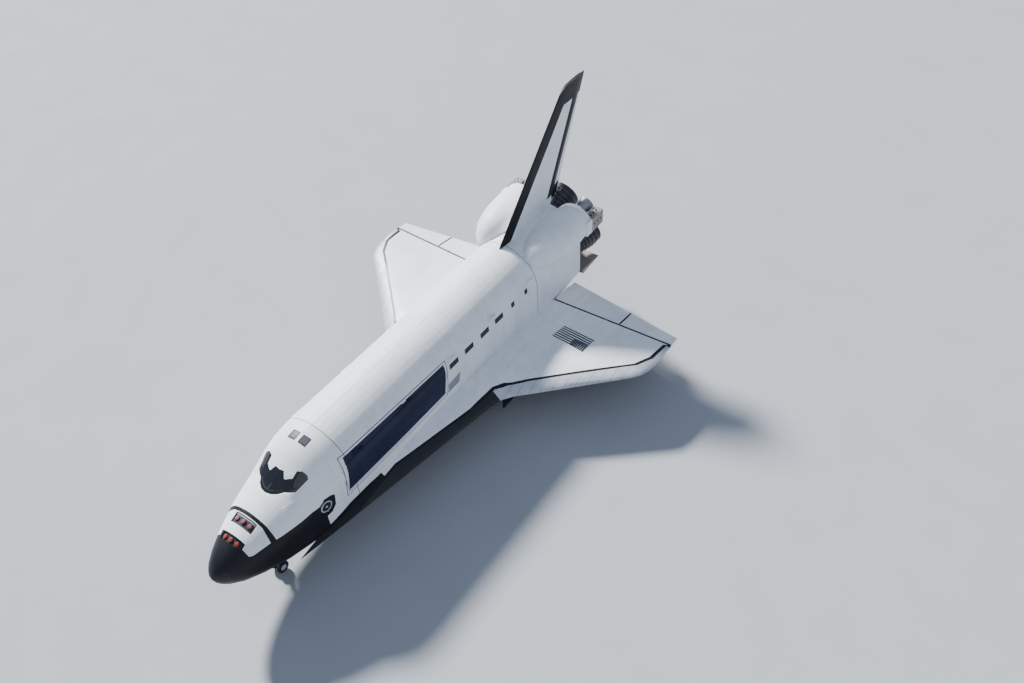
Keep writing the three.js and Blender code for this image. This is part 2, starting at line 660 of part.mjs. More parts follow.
function wingRing([y, leading, noseZ, bottom, top, power]) {
  const peak = leading + WING_PEAK * (ELEVON_HINGE.station - leading);
  const hingeZ = elevonHingeZ(y);
  const hingeHalf = elevonNoseRadius(y);
  const trailing = ROOT_TRAILING - TRAILING_SWEEP * y;
  const surface = (extreme, hingeEdge) => [
    ...WING_NOSE_STEPS.map((step) => {
      const rise = Math.sin((Math.PI / 2) * step ** power);
      return [leading + step * (peak - leading), noseZ + (extreme - noseZ) * rise];
    }),
    ...WING_TAIL_STEPS.map((step) => {
      const fall = step * step * (3 - 2 * step) * 0.5 + step * 0.5;
      return [peak + step * (ELEVON_HINGE.station - peak), extreme + (hingeEdge - extreme) * fall];
    }),
  ];
  const tailZ = hingeZ - TRAILING_DROP;
  const upper = [...surface(top, hingeZ + hingeHalf), [trailing, tailZ + TRAILING_EDGE / 2]];
  const lower = [...surface(bottom, hingeZ - hingeHalf), [trailing, tailZ - TRAILING_EDGE / 2]];
  return [[leading, noseZ], ...upper, ...lower.reverse()].map(([station, z]) => at(station, y, z));
}

function elevonHingeZ(y) {
  return ELEVON_HINGE.rootZ + ELEVON_HINGE.slope * (y - ELEVON_HINGE.rootY);
}

function elevonNoseRadius(y) {
  return ELEVON_NOSE.root - ELEVON_NOSE.taper * (y - ELEVON_HINGE.rootY);
}

const elevonHinge = {
  point: (y) => at(ELEVON_HINGE.station, y, elevonHingeZ(y)),
  radius: elevonNoseRadius,
  aftBand: elevonRegion,
  band: wideElevonBand,
};

function elevonHingeRod(y0, y1, extra) {
  return rod(elevonHinge.point(y0), elevonHinge.point(y1), elevonNoseRadius(y0) + extra, elevonNoseRadius(y1) + extra, HINGE_SIDES);
}

// Everything aft of the hinge line between two planes square to it
function elevonRegion(y0, y1) {
  const tilt = Math.atan(ELEVON_HINGE.slope);
  const { station, rootY, rootZ } = ELEVON_HINGE;
  const span = (y) => (y - rootY) / Math.cos(tilt);
  const geometry = new THREE.BoxGeometry(HINGE_DEPTH, span(y1) - span(y0), HINGE_DEPTH);
  geometry.translate(-HINGE_DEPTH / 2, (span(y0) + span(y1)) / 2, 0);
  geometry.rotateX(tilt);
  geometry.translate(aft(station), rootY, rootZ);
  return solidOf(geometry);
}

function buildWings() {
  const wing = cut(loft(WING_STATIONS.map(wingRing)), clearHull);
  const tip = HALF_SPAN + 200;
  const lipFront = (y) => ELEVON_HINGE.station - ELEVON_LIP * elevonNoseRadius(y);
  const tail = planPrism([[lipFront(2000), 2000], [lipFront(tip), tip], [DEEP, tip], [DEEP, 2000]], 0, 9000);
  const fixedWing = cut(wing, tail, elevonHingeRod(2300, tip, ELEVON_GAP));

  const outside = [[LEADING_BORDER.at(-1)[0], 14000], [0, 14000], [0, 2990]];
  const edgeRegion = planPrism([...LEADING_BORDER, ...outside], 0, 9000);
  const edgeClear = planPrism([...LEADING_BORDER, ...outside].map(([station, y], i) => (
    i < LEADING_BORDER.length ? [station + FIT_GAP, y - FIT_GAP] : [station, y]
  )), 0, 9000);
  const well = block(MAIN_WELL.front, MAIN_WELL.back, MAIN_WELL.inner, MAIN_WELL.outer, 0, MAIN_WELL.roof);
  const lugs = ELEVON_LUGS.map((y) => hingeLug(elevonHinge, y, elevonNoseRadius(y) + 150));
  addPair('wing', join(cut(fixedWing, edgeClear, well), ...lugs), 'whiteTile');
  addPair('wing_leading_edge', common(fixedWing, edgeRegion), 'edgePanel');

  ELEVONS.forEach(([name, y0, y1]) => {
    const nose = common(elevonHingeRod(y0, Math.min(y1, HALF_SPAN), 0), wideElevonBand(y0, y1));
    const slots = ELEVON_LUGS.filter((y) => y > y0 && y < y1).map((y) => lugSlot(elevonHinge, y));
    addPair(name, cut(join(common(wing, elevonRegion(y0, y1)), nose), ...slots), 'whiteTile');
  });

  const door = planPrism([[MAIN_WELL.front, MAIN_WELL.outer], [MAIN_WELL.back, MAIN_WELL.outer],
    [MAIN_WELL.back, MAIN_WELL.outer + GEAR_DOOR.thickness],
    [MAIN_WELL.front, MAIN_WELL.outer + GEAR_DOOR.thickness]], GEAR_DOOR.mainBottom, 3000);
  addPair('main_gear_door', cut(door, shifted(wing, 0, 0, -FIT_GAP)), 'whiteTile');
}

function wideElevonBand(y0, y1) {
  return join(elevonRegion(y0, y1), shifted(elevonRegion(y0, y1), HINGE_DEPTH / 2, 0, 0));
}

// Aft fuselage, pods, engines and body flap

function podRing([station, y, z, halfWidth, halfHeight]) {
  return Array.from({ length: POD_STEPS }, (_, i) => {
    const angle = (i / POD_STEPS) * 2 * Math.PI;
    return at(station, y + halfWidth * Math.cos(angle), z + halfHeight * Math.sin(angle));
  });
}

function pointing(pitch, turn) {
  const down = THREE.MathUtils.degToRad(pitch);
  const side = THREE.MathUtils.degToRad(turn);
  return new THREE.Vector3(-Math.cos(down) * Math.cos(side), Math.cos(down) * Math.sin(side), Math.sin(down));
}

function nozzleProfile(profile) {
  const inner = profile.slice(1).map(([along, radius]) => [along, radius - NOZZLE_WALL]);
  return [[profile[0][0], 0], ...profile, ...inner.reverse(), [profile[1][0], 0]];
}

function nozzle([name, station, y, z, pitch, turn], profile) {
  addPiece(name, turned(nozzleProfile(profile), at(station, y, z), pointing(pitch, turn), NOZZLE_SIDES), 'darkMetal');
}

function flapRod(half, radius) {
  return rod(at(FLAP.station, -half, FLAP.z), at(FLAP.station, half, FLAP.z), radius, radius, HINGE_SIDES);
}

function flapBand(y0, y1) {
  return block(FLAP.station, FLAP.station + HINGE_DEPTH, y0, y1, -HINGE_DEPTH, HINGE_DEPTH * 2);
}

const flapHinge = {
  point: (y) => at(FLAP.station, y, FLAP.z),
  radius: () => FLAP.nose,
  aftBand: flapBand,
  band: (y0, y1) => join(flapBand(y0, y1), shifted(flapBand(y0, y1), HINGE_DEPTH / 2, 0, 0)),
};

function buildAftFuselage() {
  let body = common(outerHull, slab(BAY_END + FIT_GAP, BASE_STATION));
  MAIN_NOZZLES.forEach(([, station, y, z, pitch, turn]) => {
    const direction = pointing(pitch, turn);
    const mount = at(station, y, z);
    const base = (BASE_STATION - station) / Math.cos(THREE.MathUtils.degToRad(pitch));
    const { radius, neck, depth, root } = ENGINE_DOME;
    const profile = [[base - root, 0], [base - root, radius], [base, radius], [base + depth, neck], [base + depth, 0]];
    body = join(body, cut(turned(profile, mount, direction, NOZZLE_SIDES), slab(0, BASE_STATION)));
  });
  const nozzles = MAIN_NOZZLES.map(([, station, y, z, pitch, turn]) => {
    const first = MAIN_NOZZLE_PROFILE[0][0] - FIT_GAP;
    const solid = [[first, 0], [first, MAIN_NOZZLE_PROFILE[0][1] + NOZZLE_SLACK],
      ...MAIN_NOZZLE_PROFILE.slice(1).map(([along, radius]) => [along, radius + NOZZLE_SLACK]), [4200, 0]];
    return turned(solid, at(station, y, z), pointing(pitch, turn), NOZZLE_SIDES);
  });
  const flapReach = FLAP.station - BASE_STATION + 60;
  const flapLugs = FLAP_LUGS.map((y) => hingeLug(flapHinge, y, flapReach));
  const pads = BELLY_PADS.filter(([place]) => place === 'aft').map(bellyPad);
  body = join(cut(body, ...nozzles), ...flapLugs, ...pads);
  addPiece('aft_fuselage', body, 'whiteTile');

  const flapOutline = [[FLAP.station, FLAP.z + FLAP.nose], [FLAP.station + FLAP.chord, FLAP.z + FLAP.edge / 2],
    [FLAP.station + FLAP.chord, FLAP.z - FLAP.edge / 2], [FLAP.station, FLAP.z - FLAP.nose]];
  const plate = sidePrism(flapOutline, -FLAP.half, FLAP.half);
  const flapSlots = FLAP_LUGS.map((y) => lugSlot(flapHinge, y));
  addPiece('body_flap', cut(join(plate, flapRod(FLAP.half, FLAP.nose)), ...flapSlots), 'flapBrown');

  MAIN_NOZZLES.forEach((place) => nozzle(place, MAIN_NOZZLE_PROFILE));

  const { front, back, inner, outer, bottom, top } = POD_HOUSING;
  const podNozzleMount = at(POD_NOZZLE.station, POD_NOZZLE.y, POD_NOZZLE.z);
  let pod = join(loft(POD_SECTIONS.map(podRing)), block(front, back, inner, outer, bottom, top));
  pod = cut(pod, clearHull, podClearOfFin());
  addPair('engine_pod', pod, 'whiteTile');
  const podNozzle = turned(nozzleProfile(POD_NOZZLE_PROFILE), podNozzleMount,
    pointing(POD_NOZZLE.pitch, POD_NOZZLE.turn), NOZZLE_SIDES);
  addPair('pod_nozzle', cut(podNozzle, slab(0, POD_SECTIONS.at(-1)[0] + FIT_GAP)), 'darkMetal');
}

function podClearOfFin() {
  return block(20000, LENGTH, -DEEP, 480, 0, DEEP);
}

// Fin, rudder post and the two panels that are rudder and speedbrake

const rudderAxis = new THREE.Vector3().subVectors(at(RUDDER_TOP.station, 0, RUDDER_TOP.z),
  at(RUDDER_BOTTOM.station, 0, RUDDER_BOTTOM.z));
const rudderLength = rudderAxis.length();
rudderAxis.normalize();
const rudderAft = new THREE.Vector3(-rudderAxis.z, 0, rudderAxis.x);

function rudderPoint(along, back = 0) {
  return at(RUDDER_BOTTOM.station, 0, RUDDER_BOTTOM.z).addScaledVector(rudderAxis, along)
    .addScaledVector(rudderAft, back);
}

function rudderRadius(along) {
  return RUDDER_NOSE.bottom + (RUDDER_NOSE.top - RUDDER_NOSE.bottom) * (along / rudderLength);
}

function rudderCone(from, to, extra) {
  return rod(rudderPoint(from), rudderPoint(to), rudderRadius(from) + extra, rudderRadius(to) + extra, HINGE_SIDES);
}

// Section of the port panel square to the post: it wraps the post, has a round
// nose over RUDDER_SECTOR and runs straight to the trailing edge.
function rudderPanelRing(along) {
  const radius = rudderRadius(along);
  const clear = RUDDER_POST + 2 * FIT_GAP;
  const split = RUDDER_SPLIT / 2;
  const tail = rudderTail(along);
  const onCircle = (size, angle) => [-size * Math.sin(angle), size * Math.cos(angle)];
  const steps = [0, 1 / 3, 2 / 3, 1].map((share) => share * RUDDER_SECTOR);
  const wrap = [0, 1, 2, 3, 4, 5, 6, 7].map((step) => RUDDER_SECTOR - step * RUDDER_WRAP);
  const outline = [
    [tail, split], [tail, FIN_EDGE],
    ...steps.map((angle) => onCircle(radius, angle)),
    ...wrap.map((angle) => onCircle(clear, angle)),
    [Math.sqrt(clear * clear - split * split), split],
  ];
  return outline.map(([back, y]) => rudderPoint(along, back).setY(y));
}

// Distance from the post to the fin's trailing edge, square to the post
function rudderTail(along) {
  const start = rudderPoint(along);
  const station = LENGTH / 2 - start.x;
  const reach = FIN.rootTrailing + FIN.trailingSlope * (start.z - FIN.baseZ) - station;
  return reach / (-rudderAft.x - FIN.trailingSlope * rudderAft.z);
}

function finRing(z) {
  const rise = z - FIN.baseZ;
  const leading = FIN.rootLeading + FIN.leadingSlope * rise;
  const trailing = FIN.rootTrailing + FIN.trailingSlope * rise;
  const slope = (RUDDER_TOP.station - RUDDER_BOTTOM.station) / (RUDDER_TOP.z - RUDDER_BOTTOM.z);
  const hinge = RUDDER_BOTTOM.station + slope * (z - RUDDER_BOTTOM.z);
  const thick = RUDDER_NOSE.bottom + (RUDDER_NOSE.top - RUDDER_NOSE.bottom)
    * ((z - RUDDER_BOTTOM.z) / (RUDDER_TOP.z - RUDDER_BOTTOM.z));
  const port = FIN_PROFILE.map(([share, part]) => [leading + share * (hinge - leading), part * thick]);
  port.push([trailing, FIN_EDGE]);
  const starboard = port.map(([station, y]) => [station, -y]).reverse();
  return [[leading, 0], ...port, ...starboard].map(([station, y]) => at(station, y, z));
}

function buildFin() {
  const finBody = loft([FIN.rootZ, FIN.tipZ].map(finRing));
  const tipCorner = sidePrism([[0, FIN.tipZ - FIN_TIP_DROP], [FIN.tipCorner, FIN.tipZ - FIN_TIP_DROP],
    [FIN.tipCorner + FIN_TIP_DROP * 1.9, FIN.tipZ + 1], [0, FIN.tipZ + 1]], -DEEP, DEEP);
  const top = rudderLength;
  const wide = 1000;
  const lip = (along) => -RUDDER_LIP * rudderRadius(along);
  const opening = sidePrismFromPoints([rudderPoint(0, lip(0)), rudderPoint(top, lip(top)),
    rudderPoint(top, 4000), rudderPoint(0, 4000)], wide);
  const boreEnd = RUDDER_POST_SEAT + 1;
  const heel = sidePrism(FIN_HEEL, -wide, wide);
  let fin = cut(finBody, tipCorner, opening, rudderCone(0, top, RUDDER_GAP), heel, clearHull);
  fin = cut(fin, bore(rudderPoint(-boreEnd), rudderPoint(top + boreEnd), RUDDER_POST));
  addPiece('vertical_fin', fin, 'whiteTile');

  addPiece('rudder_post', rod(rudderPoint(-RUDDER_POST_SEAT), rudderPoint(top + RUDDER_POST_SEAT), RUDDER_POST), 'darkMetal');

  const panel = loft([RUDDER_GAP, top - RUDDER_GAP].map(rudderPanelRing));
  addPair('rudder_panel', panel, 'whiteTile');
}

function sidePrismFromPoints(points, half) {
  const outline = points.map((point) => [LENGTH / 2 - point.x, point.z]);
  return sidePrism(outline, -half, half);
}

// Landing gear

function wheelParts(gear) {
  const { station, y, tyre, width, rim, spacing, axle } = gear;
  const centre = at(station, y, tyre);
  const side = new THREE.Vector3(0, 1, 0);
  const reach = spacing + width / 2;
  let rims = rod(at(station, y - reach, tyre), at(station, y + reach, tyre), axle);
  [-1, 1].forEach((end) => {
    const middle = y + end * spacing;
    const half = width * 0.42;
    rims = join(rims, rod(at(station, middle - half, tyre), at(station, middle + half, tyre), rim - FIT_GAP, rim - FIT_GAP, RIM_SIDES));
  });
  const inner = rim;
  const shoulder = tyre * 0.93;
  const profile = [
    [-width * 0.38, inner], [-width * 0.5, (inner + shoulder) / 2], [-width * 0.46, shoulder], [-width * 0.3, tyre * 0.985],
    [0, tyre],
    [width * 0.3, tyre * 0.985], [width * 0.46, shoulder], [width * 0.5, (inner + shoulder) / 2], [width * 0.38, inner],
    [-width * 0.38, inner],
  ];
  const tyres = [-1, 1].map((end) => {
    const from = new THREE.Vector3(centre.x, y + end * spacing, centre.z);
    return turned(profile, from, side, WHEEL_SIDES);
  });
  return { rims, tyres };
}

function gearLeg(gear) {
  const { station, y, tyre, hub, axle, collar, top, strut, piston } = gear;
  const upper = rod(at(station, y, collar), at(station, y, top - FIT_GAP), strut);
  const hubHalf = gear.spacing - gear.width / 2 - 15;
  let lower = join(
    rod(at(station, y, tyre), at(station, y, collar - FIT_GAP), piston),
    rod(at(station, y - hubHalf, tyre), at(station, y + hubHalf, tyre), hub),
    rod(at(station, y, collar - 180), at(station, y, collar - FIT_GAP), strut + 25),
  );
  const link = sidePrism([[station + 20, collar - 160], [station + 20, collar - 60],
    [station + strut + 190, (collar + tyre) / 2 + 40], [station + strut + 190, (collar + tyre) / 2 - 40],
    [station + 20, tyre + 40], [station + 20, tyre + 130],
    [station + strut + 90, (collar + tyre) / 2]], y - 45, y + 45);
  lower = cut(join(lower, link), bore(at(station, y - 2000, tyre), at(station, y + 2000, tyre), axle));
  return { upper, lower };
}

function buildNoseGear() {
  const { upper, lower } = gearLeg(NOSE_GEAR);
  const { station, strut } = NOSE_GEAR;
  const brace = rod(at(station - 60, 0, 2000), at(NOSE_WELL.front + 250, 0, 3400), 55, 55, 12);
  const roof = block(NOSE_WELL.front, NOSE_WELL.back, -NOSE_WELL.half + FIT_GAP, NOSE_WELL.half - FIT_GAP, 0, NOSE_WELL.roof - FIT_GAP);
  const bar = rod(at(NOSE_WELL.front + 250, -NOSE_WELL.half + FIT_GAP, 3400), at(NOSE_WELL.front + 250, NOSE_WELL.half - FIT_GAP, 3400), 60, 60, 12);
  addPiece('nose_leg', common(join(upper, brace, bar), roof), 'gearMetal');
  addPiece('nose_steering_piston', lower, 'gearMetal');
  const { rims, tyres } = wheelParts(NOSE_GEAR);
  addPiece('nose_wheel_rims', rims, 'gearMetal');
  addPiece('nose_tyre_right', tyres[0], 'rubber');
  addPiece('nose_tyre_left', tyres[1], 'rubber');

  const doorTop = 3300;
  const { front, back, half } = NOSE_WELL;
  const hullBottom = shifted(outerHull, 0, 0, -FIT_GAP);
  const doorOutline = [[front, 2600], [front, doorTop], [back, doorTop], [back, 2819 - GEAR_DOOR.noseDrop]];
  const door = sidePrism(doorOutline, half + 5, half + 5 + GEAR_DOOR.thickness);
  addPair('nose_gear_door', cut(door, hullBottom), 'blackTile');
}

function buildMainGear() {
  const { upper, lower } = gearLeg(MAIN_GEAR);
  const { station, y, collar } = MAIN_GEAR;
  const { front, inner, roof } = MAIN_WELL;
  const brace = rod(at(station - 80, y, 1700), at(station - 1900, y, roof - 200), 75, 75, 12);
  const braceBar = rod(at(station - 1900, inner + FIT_GAP, roof - 200), at(station - 1900, MAIN_WELL.outer - FIT_GAP, roof - 200), 80, 80, 12);
  addPair('main_leg', join(upper, brace, braceBar), 'gearMetal');
  addPair('main_piston', lower, 'gearMetal');
  const { rims, tyres } = wheelParts(MAIN_GEAR);
  addPair('main_wheel_rims', rims, 'gearMetal');
  addPair('main_tyre_inner', tyres[0], 'rubber');
  addPair('main_tyre_outer', tyres[1], 'rubber');
}

buildForwardFuselage();
buildMiddleFuselage();
buildWings();
buildAftFuselage();
buildFin();
buildNoseGear();
buildMainGear();

export default group;
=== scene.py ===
"""Looks of a space shuttle orbiter that stands level on its landing gear as an exhibit.

Metres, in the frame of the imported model: +X points to the nose, +Y to port and +Z up. Stations are
distances aft of the nose tip, and aft() turns a station into x.
"""

import json
import logging
import math
from dataclasses import dataclass
from enum import Enum
from typing import Any, Iterable, Sequence

import bmesh
import bpy
import numpy as np
from mathutils import Matrix, Vector
from mathutils.bvhtree import BVHTree

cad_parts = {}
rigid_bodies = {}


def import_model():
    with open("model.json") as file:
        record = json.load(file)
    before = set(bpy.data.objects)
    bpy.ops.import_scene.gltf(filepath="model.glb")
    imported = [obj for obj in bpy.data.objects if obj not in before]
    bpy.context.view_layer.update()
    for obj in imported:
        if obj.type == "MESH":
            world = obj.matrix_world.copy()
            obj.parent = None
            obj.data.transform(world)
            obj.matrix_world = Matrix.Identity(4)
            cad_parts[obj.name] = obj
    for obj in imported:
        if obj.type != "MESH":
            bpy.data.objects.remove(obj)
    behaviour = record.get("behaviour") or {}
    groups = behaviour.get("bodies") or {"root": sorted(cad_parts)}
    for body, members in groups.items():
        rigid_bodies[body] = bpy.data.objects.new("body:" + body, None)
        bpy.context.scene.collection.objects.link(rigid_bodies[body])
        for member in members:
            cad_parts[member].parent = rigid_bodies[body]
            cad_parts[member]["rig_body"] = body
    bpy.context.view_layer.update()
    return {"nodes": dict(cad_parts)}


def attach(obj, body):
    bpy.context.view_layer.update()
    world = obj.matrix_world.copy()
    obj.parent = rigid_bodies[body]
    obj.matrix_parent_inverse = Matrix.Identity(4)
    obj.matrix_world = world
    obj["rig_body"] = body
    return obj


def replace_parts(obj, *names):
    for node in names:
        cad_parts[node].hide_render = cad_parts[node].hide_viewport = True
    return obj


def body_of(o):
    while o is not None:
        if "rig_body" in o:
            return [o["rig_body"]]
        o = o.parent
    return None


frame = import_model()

log = logging.getLogger("orbiter")

Point = tuple[float, float]
Place = tuple[float, float, float]
Tones = tuple[str, str]
Socket = bpy.types.NodeSocket

HALF_LENGTH = 18.6185
# Payload bay: the stations between which it is lined, the height of its axis and the liner's reach from it
BAY_STATIONS = (8.688, 27.303)
BAY_CENTRE = 5.715
BAY_REACH = 2.44
# Station from which the base round the main nozzles has its heat shield
SHIELD_STATION = 32.584
# The two sides, with the sign of their y
TURNS = {"left": 1, "right": -1}
# Corners sharper than this stay sharp
SMOOTH_ANGLE = math.radians(34)
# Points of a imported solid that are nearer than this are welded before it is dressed
WELD = 0.0002
# Longest edge of a dressed skin's faces, how often edges are halved to reach it, and how far and how
# often the skin's normals are blended
SKIN_CELL = 0.35
HALVINGS = 8
BLEND_REACH = 0.25
BLEND_ROUNDS = 10
# A height over the hull and a distance beyond its sides, from which trim is dropped onto it
ABOVE = 9.5
OUTBOARD = 5.0
DOWN = Vector((0, 0, -1))
# Millimetres in a metre
MM = 1000.0


def aft(station: float) -> float:
    """Returns the x of a station."""
    return HALF_LENGTH - station


def at(station: float, side: float, height: float) -> Vector:
    """Returns the point at a station, a distance to port and a height."""
    return Vector((aft(station), side, height))


def linear(hex_colour: str) -> tuple[float, float, float, float]:
    """Turns an sRGB hex colour into the linear colour that a shader takes.

    Args:
        hex_colour: Six hex digits, without a hash sign.

    Returns:
        Red, green, blue and an alpha of one.
    """
    parts = [int(hex_colour[i : i + 2], 16) / 255 for i in (0, 2, 4)]
    return (*[c / 12.92 if c <= 0.04045 else ((c + 0.055) / 1.055) ** 2.4 for c in parts], 1.0)


class Graph:
    """A node tree that is being put together."""

    def __init__(self, tree: bpy.types.NodeTree) -> None:
        """Keeps the tree."""
        self.tree = tree

    def add(self, kind: str, feeds: dict[Any, Any] | None = None, output: int | str = 0,
            **settings: Any) -> Any:
        """Adds a node with its settings and links.

        Args:
            kind: Blender's name for the node type.
            feeds: Values or sockets by the name or number of the input they go to.
            output: The output that is handed back.
            **settings: Properties set on the node before its inputs.

        Returns:
            The output socket, or None for a node that has none.
        """
        made = self.tree.nodes.new(kind)
        for name, value in settings.items():
            setattr(made, name, value)
        for key, value in (feeds or {}).items():
            if isinstance(value, Socket):
                self.tree.links.new(value, made.inputs[key])
            else:
                made.inputs[key].default_value = value
        return made.outputs[output] if len(made.outputs) else None

    def maths(self, operation: str, *values: Any) -> Socket:
        """Returns what a sum or a comparison makes of its values."""
        return self.add("ShaderNodeMath", dict(enumerate(values)), operation=operation)


class Chart:
    """Where a point of the skin lies, and the paint borders drawn by that place."""

    def __init__(self, graph: Graph) -> None:
        """Adds the nodes that give station, side, height and facing.

        Args:
            graph: The shader tree that the chart draws in.
        """
        self.graph = graph
        self.point = graph.add("ShaderNodeTexCoord", output="Object")
        along, self.side, self.height = graph.add("ShaderNodeSeparateXYZ", {0: self.point}).node.outputs
        self.station = graph.maths("SUBTRACT", HALF_LENGTH, along)
        self.spread = graph.maths("ABSOLUTE", self.side)
        facing = graph.add("ShaderNodeTexCoord", output="Normal")
        self.facing_up = graph.add("ShaderNodeSeparateXYZ", {0: facing}, output="Z")
        self.upright = self.within(self.facing_up, -0.6, 0.6)
        self.port = self.over(self.side, 0.0)

    def over(self, value: Any, limit: Any) -> Socket:
        """Returns a mask of where value is over limit."""
        return self.graph.maths("GREATER_THAN", value, limit)

    def within(self, value: Socket, low: float, high: float) -> Socket:
        """Returns a mask of where value lies between low and high."""
        return self.graph.maths("COMPARE", value, (low + high) / 2, (high - low) / 2)

    def folded(self, operation: str, masks: Sequence[Socket]) -> Socket:
        """Joins masks into one.

        Args:
            operation: What joins two of them.
            masks: One or more masks.

        Returns:
            The joined mask.
        """
        made = masks[0]
        for mask in masks[1:]:
            made = self.graph.maths(operation, made, mask)
        return made

    def both(self, *masks: Socket) -> Socket:
        """Returns a mask of where all of the masks hold."""
        return self.folded("MULTIPLY", masks)

    def either(self, *masks: Socket) -> Socket:
        """Returns a mask of where one or more of the masks hold."""
        return self.folded("MAXIMUM", masks)

    def tiled(self, value: Socket, size: float) -> Socket:
        """Returns value rounded down to whole tiles, which steps a border drawn along it."""
        return self.graph.maths("SNAP", value, size)

    def border(self, along: Socket, points: Sequence[Point]) -> Socket:
        """Draws a line through points.

        Args:
            along: What the line runs along.
            points: The line's corners, as (along, value).

        Returns:
            The line's value at each place along.
        """
        made: Any = points[0][1]
        for (start, low), (end, high) in zip(points, points[1:]):
            if high == low:
                continue
            feeds = {0: along, 1: start, 2: end, 3: 0.0, 4: high - low}
            made = self.graph.maths("ADD", made, self.graph.add("ShaderNodeMapRange", feeds))
        return made

    def inset(self, across: Socket, up: Socket, outline: Sequence[Point]) -> Socket:
        """Measures how far inside a convex outline a place lies.

        Args:
            across: The first coordinate of the outline.
            up: The second one.
            outline: Its corners.

        Returns:
            The distance to the nearest edge, below zero outside.
        """
        edges = list(zip(outline, [*outline[1:], outline[0]]))
        turn = math.copysign(1.0, sum(a[0] * b[1] - b[0] * a[1] for a, b in edges))
        flat = self.graph.add("ShaderNodeCombineXYZ", {0: across, 1: up, 2: 1.0})
        reaches = []
        for (a0, a1), (b0, b1) in edges:
            length = math.hypot(b0 - a0, b1 - a1)
            normal = (-turn * (b1 - a1) / length, turn * (b0 - a0) / length)
            feeds = {0: flat, 1: (*normal, -(normal[0] * a0 + normal[1] * a1))}
            reaches.append(self.graph.add("ShaderNodeVectorMath", feeds, "Value", operation="DOT_PRODUCT"))
        return self.folded("MINIMUM", reaches)

    def patch(self, across: Socket, up: Socket, outline: Sequence[Point]) -> Socket:
        """Returns a mask of the inside of a convex outline."""
        return self.over(self.inset(across, up, outline), 0.0)

    def seams(self, value: Socket, pitch: float, width: float) -> Socket:
        """Returns a mask of lines a pitch apart across value."""
        swing = self.graph.maths("PINGPONG", value, pitch / 2)
        return self.graph.maths("LESS_THAN", swing, width / 2)

    def noise(self, scale: float, detail: float, point: Socket | None = None) -> Socket:
        """Returns an even noise over the surface, or over the point it is given."""
        feeds = {"Vector": self.point if point is None else point, "Scale": scale, "Detail": detail}
        return self.graph.add("ShaderNodeTexNoise", feeds)

    def tint(self, base: Any, colour: Any, mask: Any) -> Socket:
        """Returns base with colour laid over it by mask."""
        feeds = {0: mask, 6: base, 7: colour}
        return self.graph.add("ShaderNodeMix", feeds, output=2, data_type="RGBA")


# The noise over which a finish goes from its colour to its worn tone, how far its streaks are drawn out
# downwards, how far its roughness swings to either side, how strong its grain is, and the roughness of
# its clear coat
DRIFT_FROM = 0.2
DRIFT_TO = 0.42
STREAK = (1.0, 1.0, 0.14)
GLOSS_SWING = 0.08
GRAIN_STRENGTH = 0.35
COAT_ROUGHNESS = 0.15


@dataclass(frozen=True)
class Finish:
    """A surface with its own colour, drift of that colour, grain and gloss.

    patch_mm and grain_mm are the sizes of the drift's patches and of the grain, and wear is how much of
    the worn colour shows where there is most of it.
    """

    name: str
    colour: str
    worn: str
    roughness: float = 0.5
    metallic: float = 0.0
    patch_mm: float = 1600.0
    grain_mm: float = 60.0
    grain_depth_mm: float = 0.6
    coat: float = 0.0
    wear: float = 0.6
    specular: float = 0.5

    def drift(self, chart: Chart, colour: str, worn: str) -> Socket:
        """Mixes a colour with its worn tone in patches and in streaks that run down.

        Args:
            chart: The chart of the surface.
            colour: Hex of the sound surface.
            worn: Hex of the worn one.

        Returns:
            The colour socket.
        """
        patches = chart.noise(MM / self.patch_mm, 4.0)
        run = chart.graph.add("ShaderNodeMapping", {"Vector": chart.point, "Scale": STREAK})
        streaks = chart.noise(3 * MM / self.patch_mm, 3.0, run)
        both = chart.graph.maths("MULTIPLY", patches, streaks)
        span = {0: both, 1: DRIFT_FROM, 2: DRIFT_TO, 3: 0.0, 4: self.wear}
        share = chart.graph.add("ShaderNodeMapRange", span)
        return chart.tint(linear(colour), linear(worn), share)

    def painted(self, chart: Chart, base: Socket, tones: Tones, mask: Socket) -> Socket:
        """Returns base with another drifting paint laid over it by mask."""
        return chart.tint(base, self.drift(chart, *tones), mask)

    def colours(self, chart: Chart) -> Socket:
        """Returns the colour of the surface."""
        return self.drift(chart, self.colour, self.worn)

    def material(self) -> bpy.types.Material:
        """Builds the material.

        Returns:
            The material, with one shader and its masks.
        """
        made = bpy.data.materials.new(self.name)
        made.use_nodes = True
        made.node_tree.nodes.clear()
        graph = Graph(made.node_tree)
        chart = Chart(graph)
        rough = chart.noise(2.5 * MM / self.patch_mm, 3.0)
        gloss = {0: rough, 3: self.roughness - GLOSS_SWING, 4: self.roughness + GLOSS_SWING}
        grain = chart.noise(MM / self.grain_mm, 3.0)
        bump = {"Height": grain, "Strength": GRAIN_STRENGTH, "Distance": self.grain_depth_mm / MM}
        feeds = {
            "Base Color": self.colours(chart),
            "Metallic": self.metallic,
            "Roughness": graph.add("ShaderNodeMapRange", gloss),
            "Specular IOR Level": self.specular,
            "Coat Weight": self.coat,
            "Coat Roughness": COAT_ROUGHNESS,
            "Normal": graph.add("ShaderNodeBump", bump),
        }
        shader = graph.add("ShaderNodeBsdfPrincipled", feeds)
        graph.add("ShaderNodeOutputMaterial", {"Surface": shader})
        return made


@dataclass(frozen=True)
class SeamedFinish(Finish):
    """Paint over panels, with a faint seam where two of them meet."""

    seam: str = "a9adb4"
    seam_width: float = 0.028
    seam_share: float = 0.3
    ring_pitch: float = 1.55
    row_pitch: float = 1.27

    def seamed(self, chart: Chart, lines: Socket) -> Socket:
        """Returns the drifting paint with faint seams along the mask of their lines."""
        faint = chart.graph.maths("MULTIPLY", lines, self.seam_share)
        return chart.tint(self.drift(chart, self.colour, self.worn), linear(self.seam), faint)


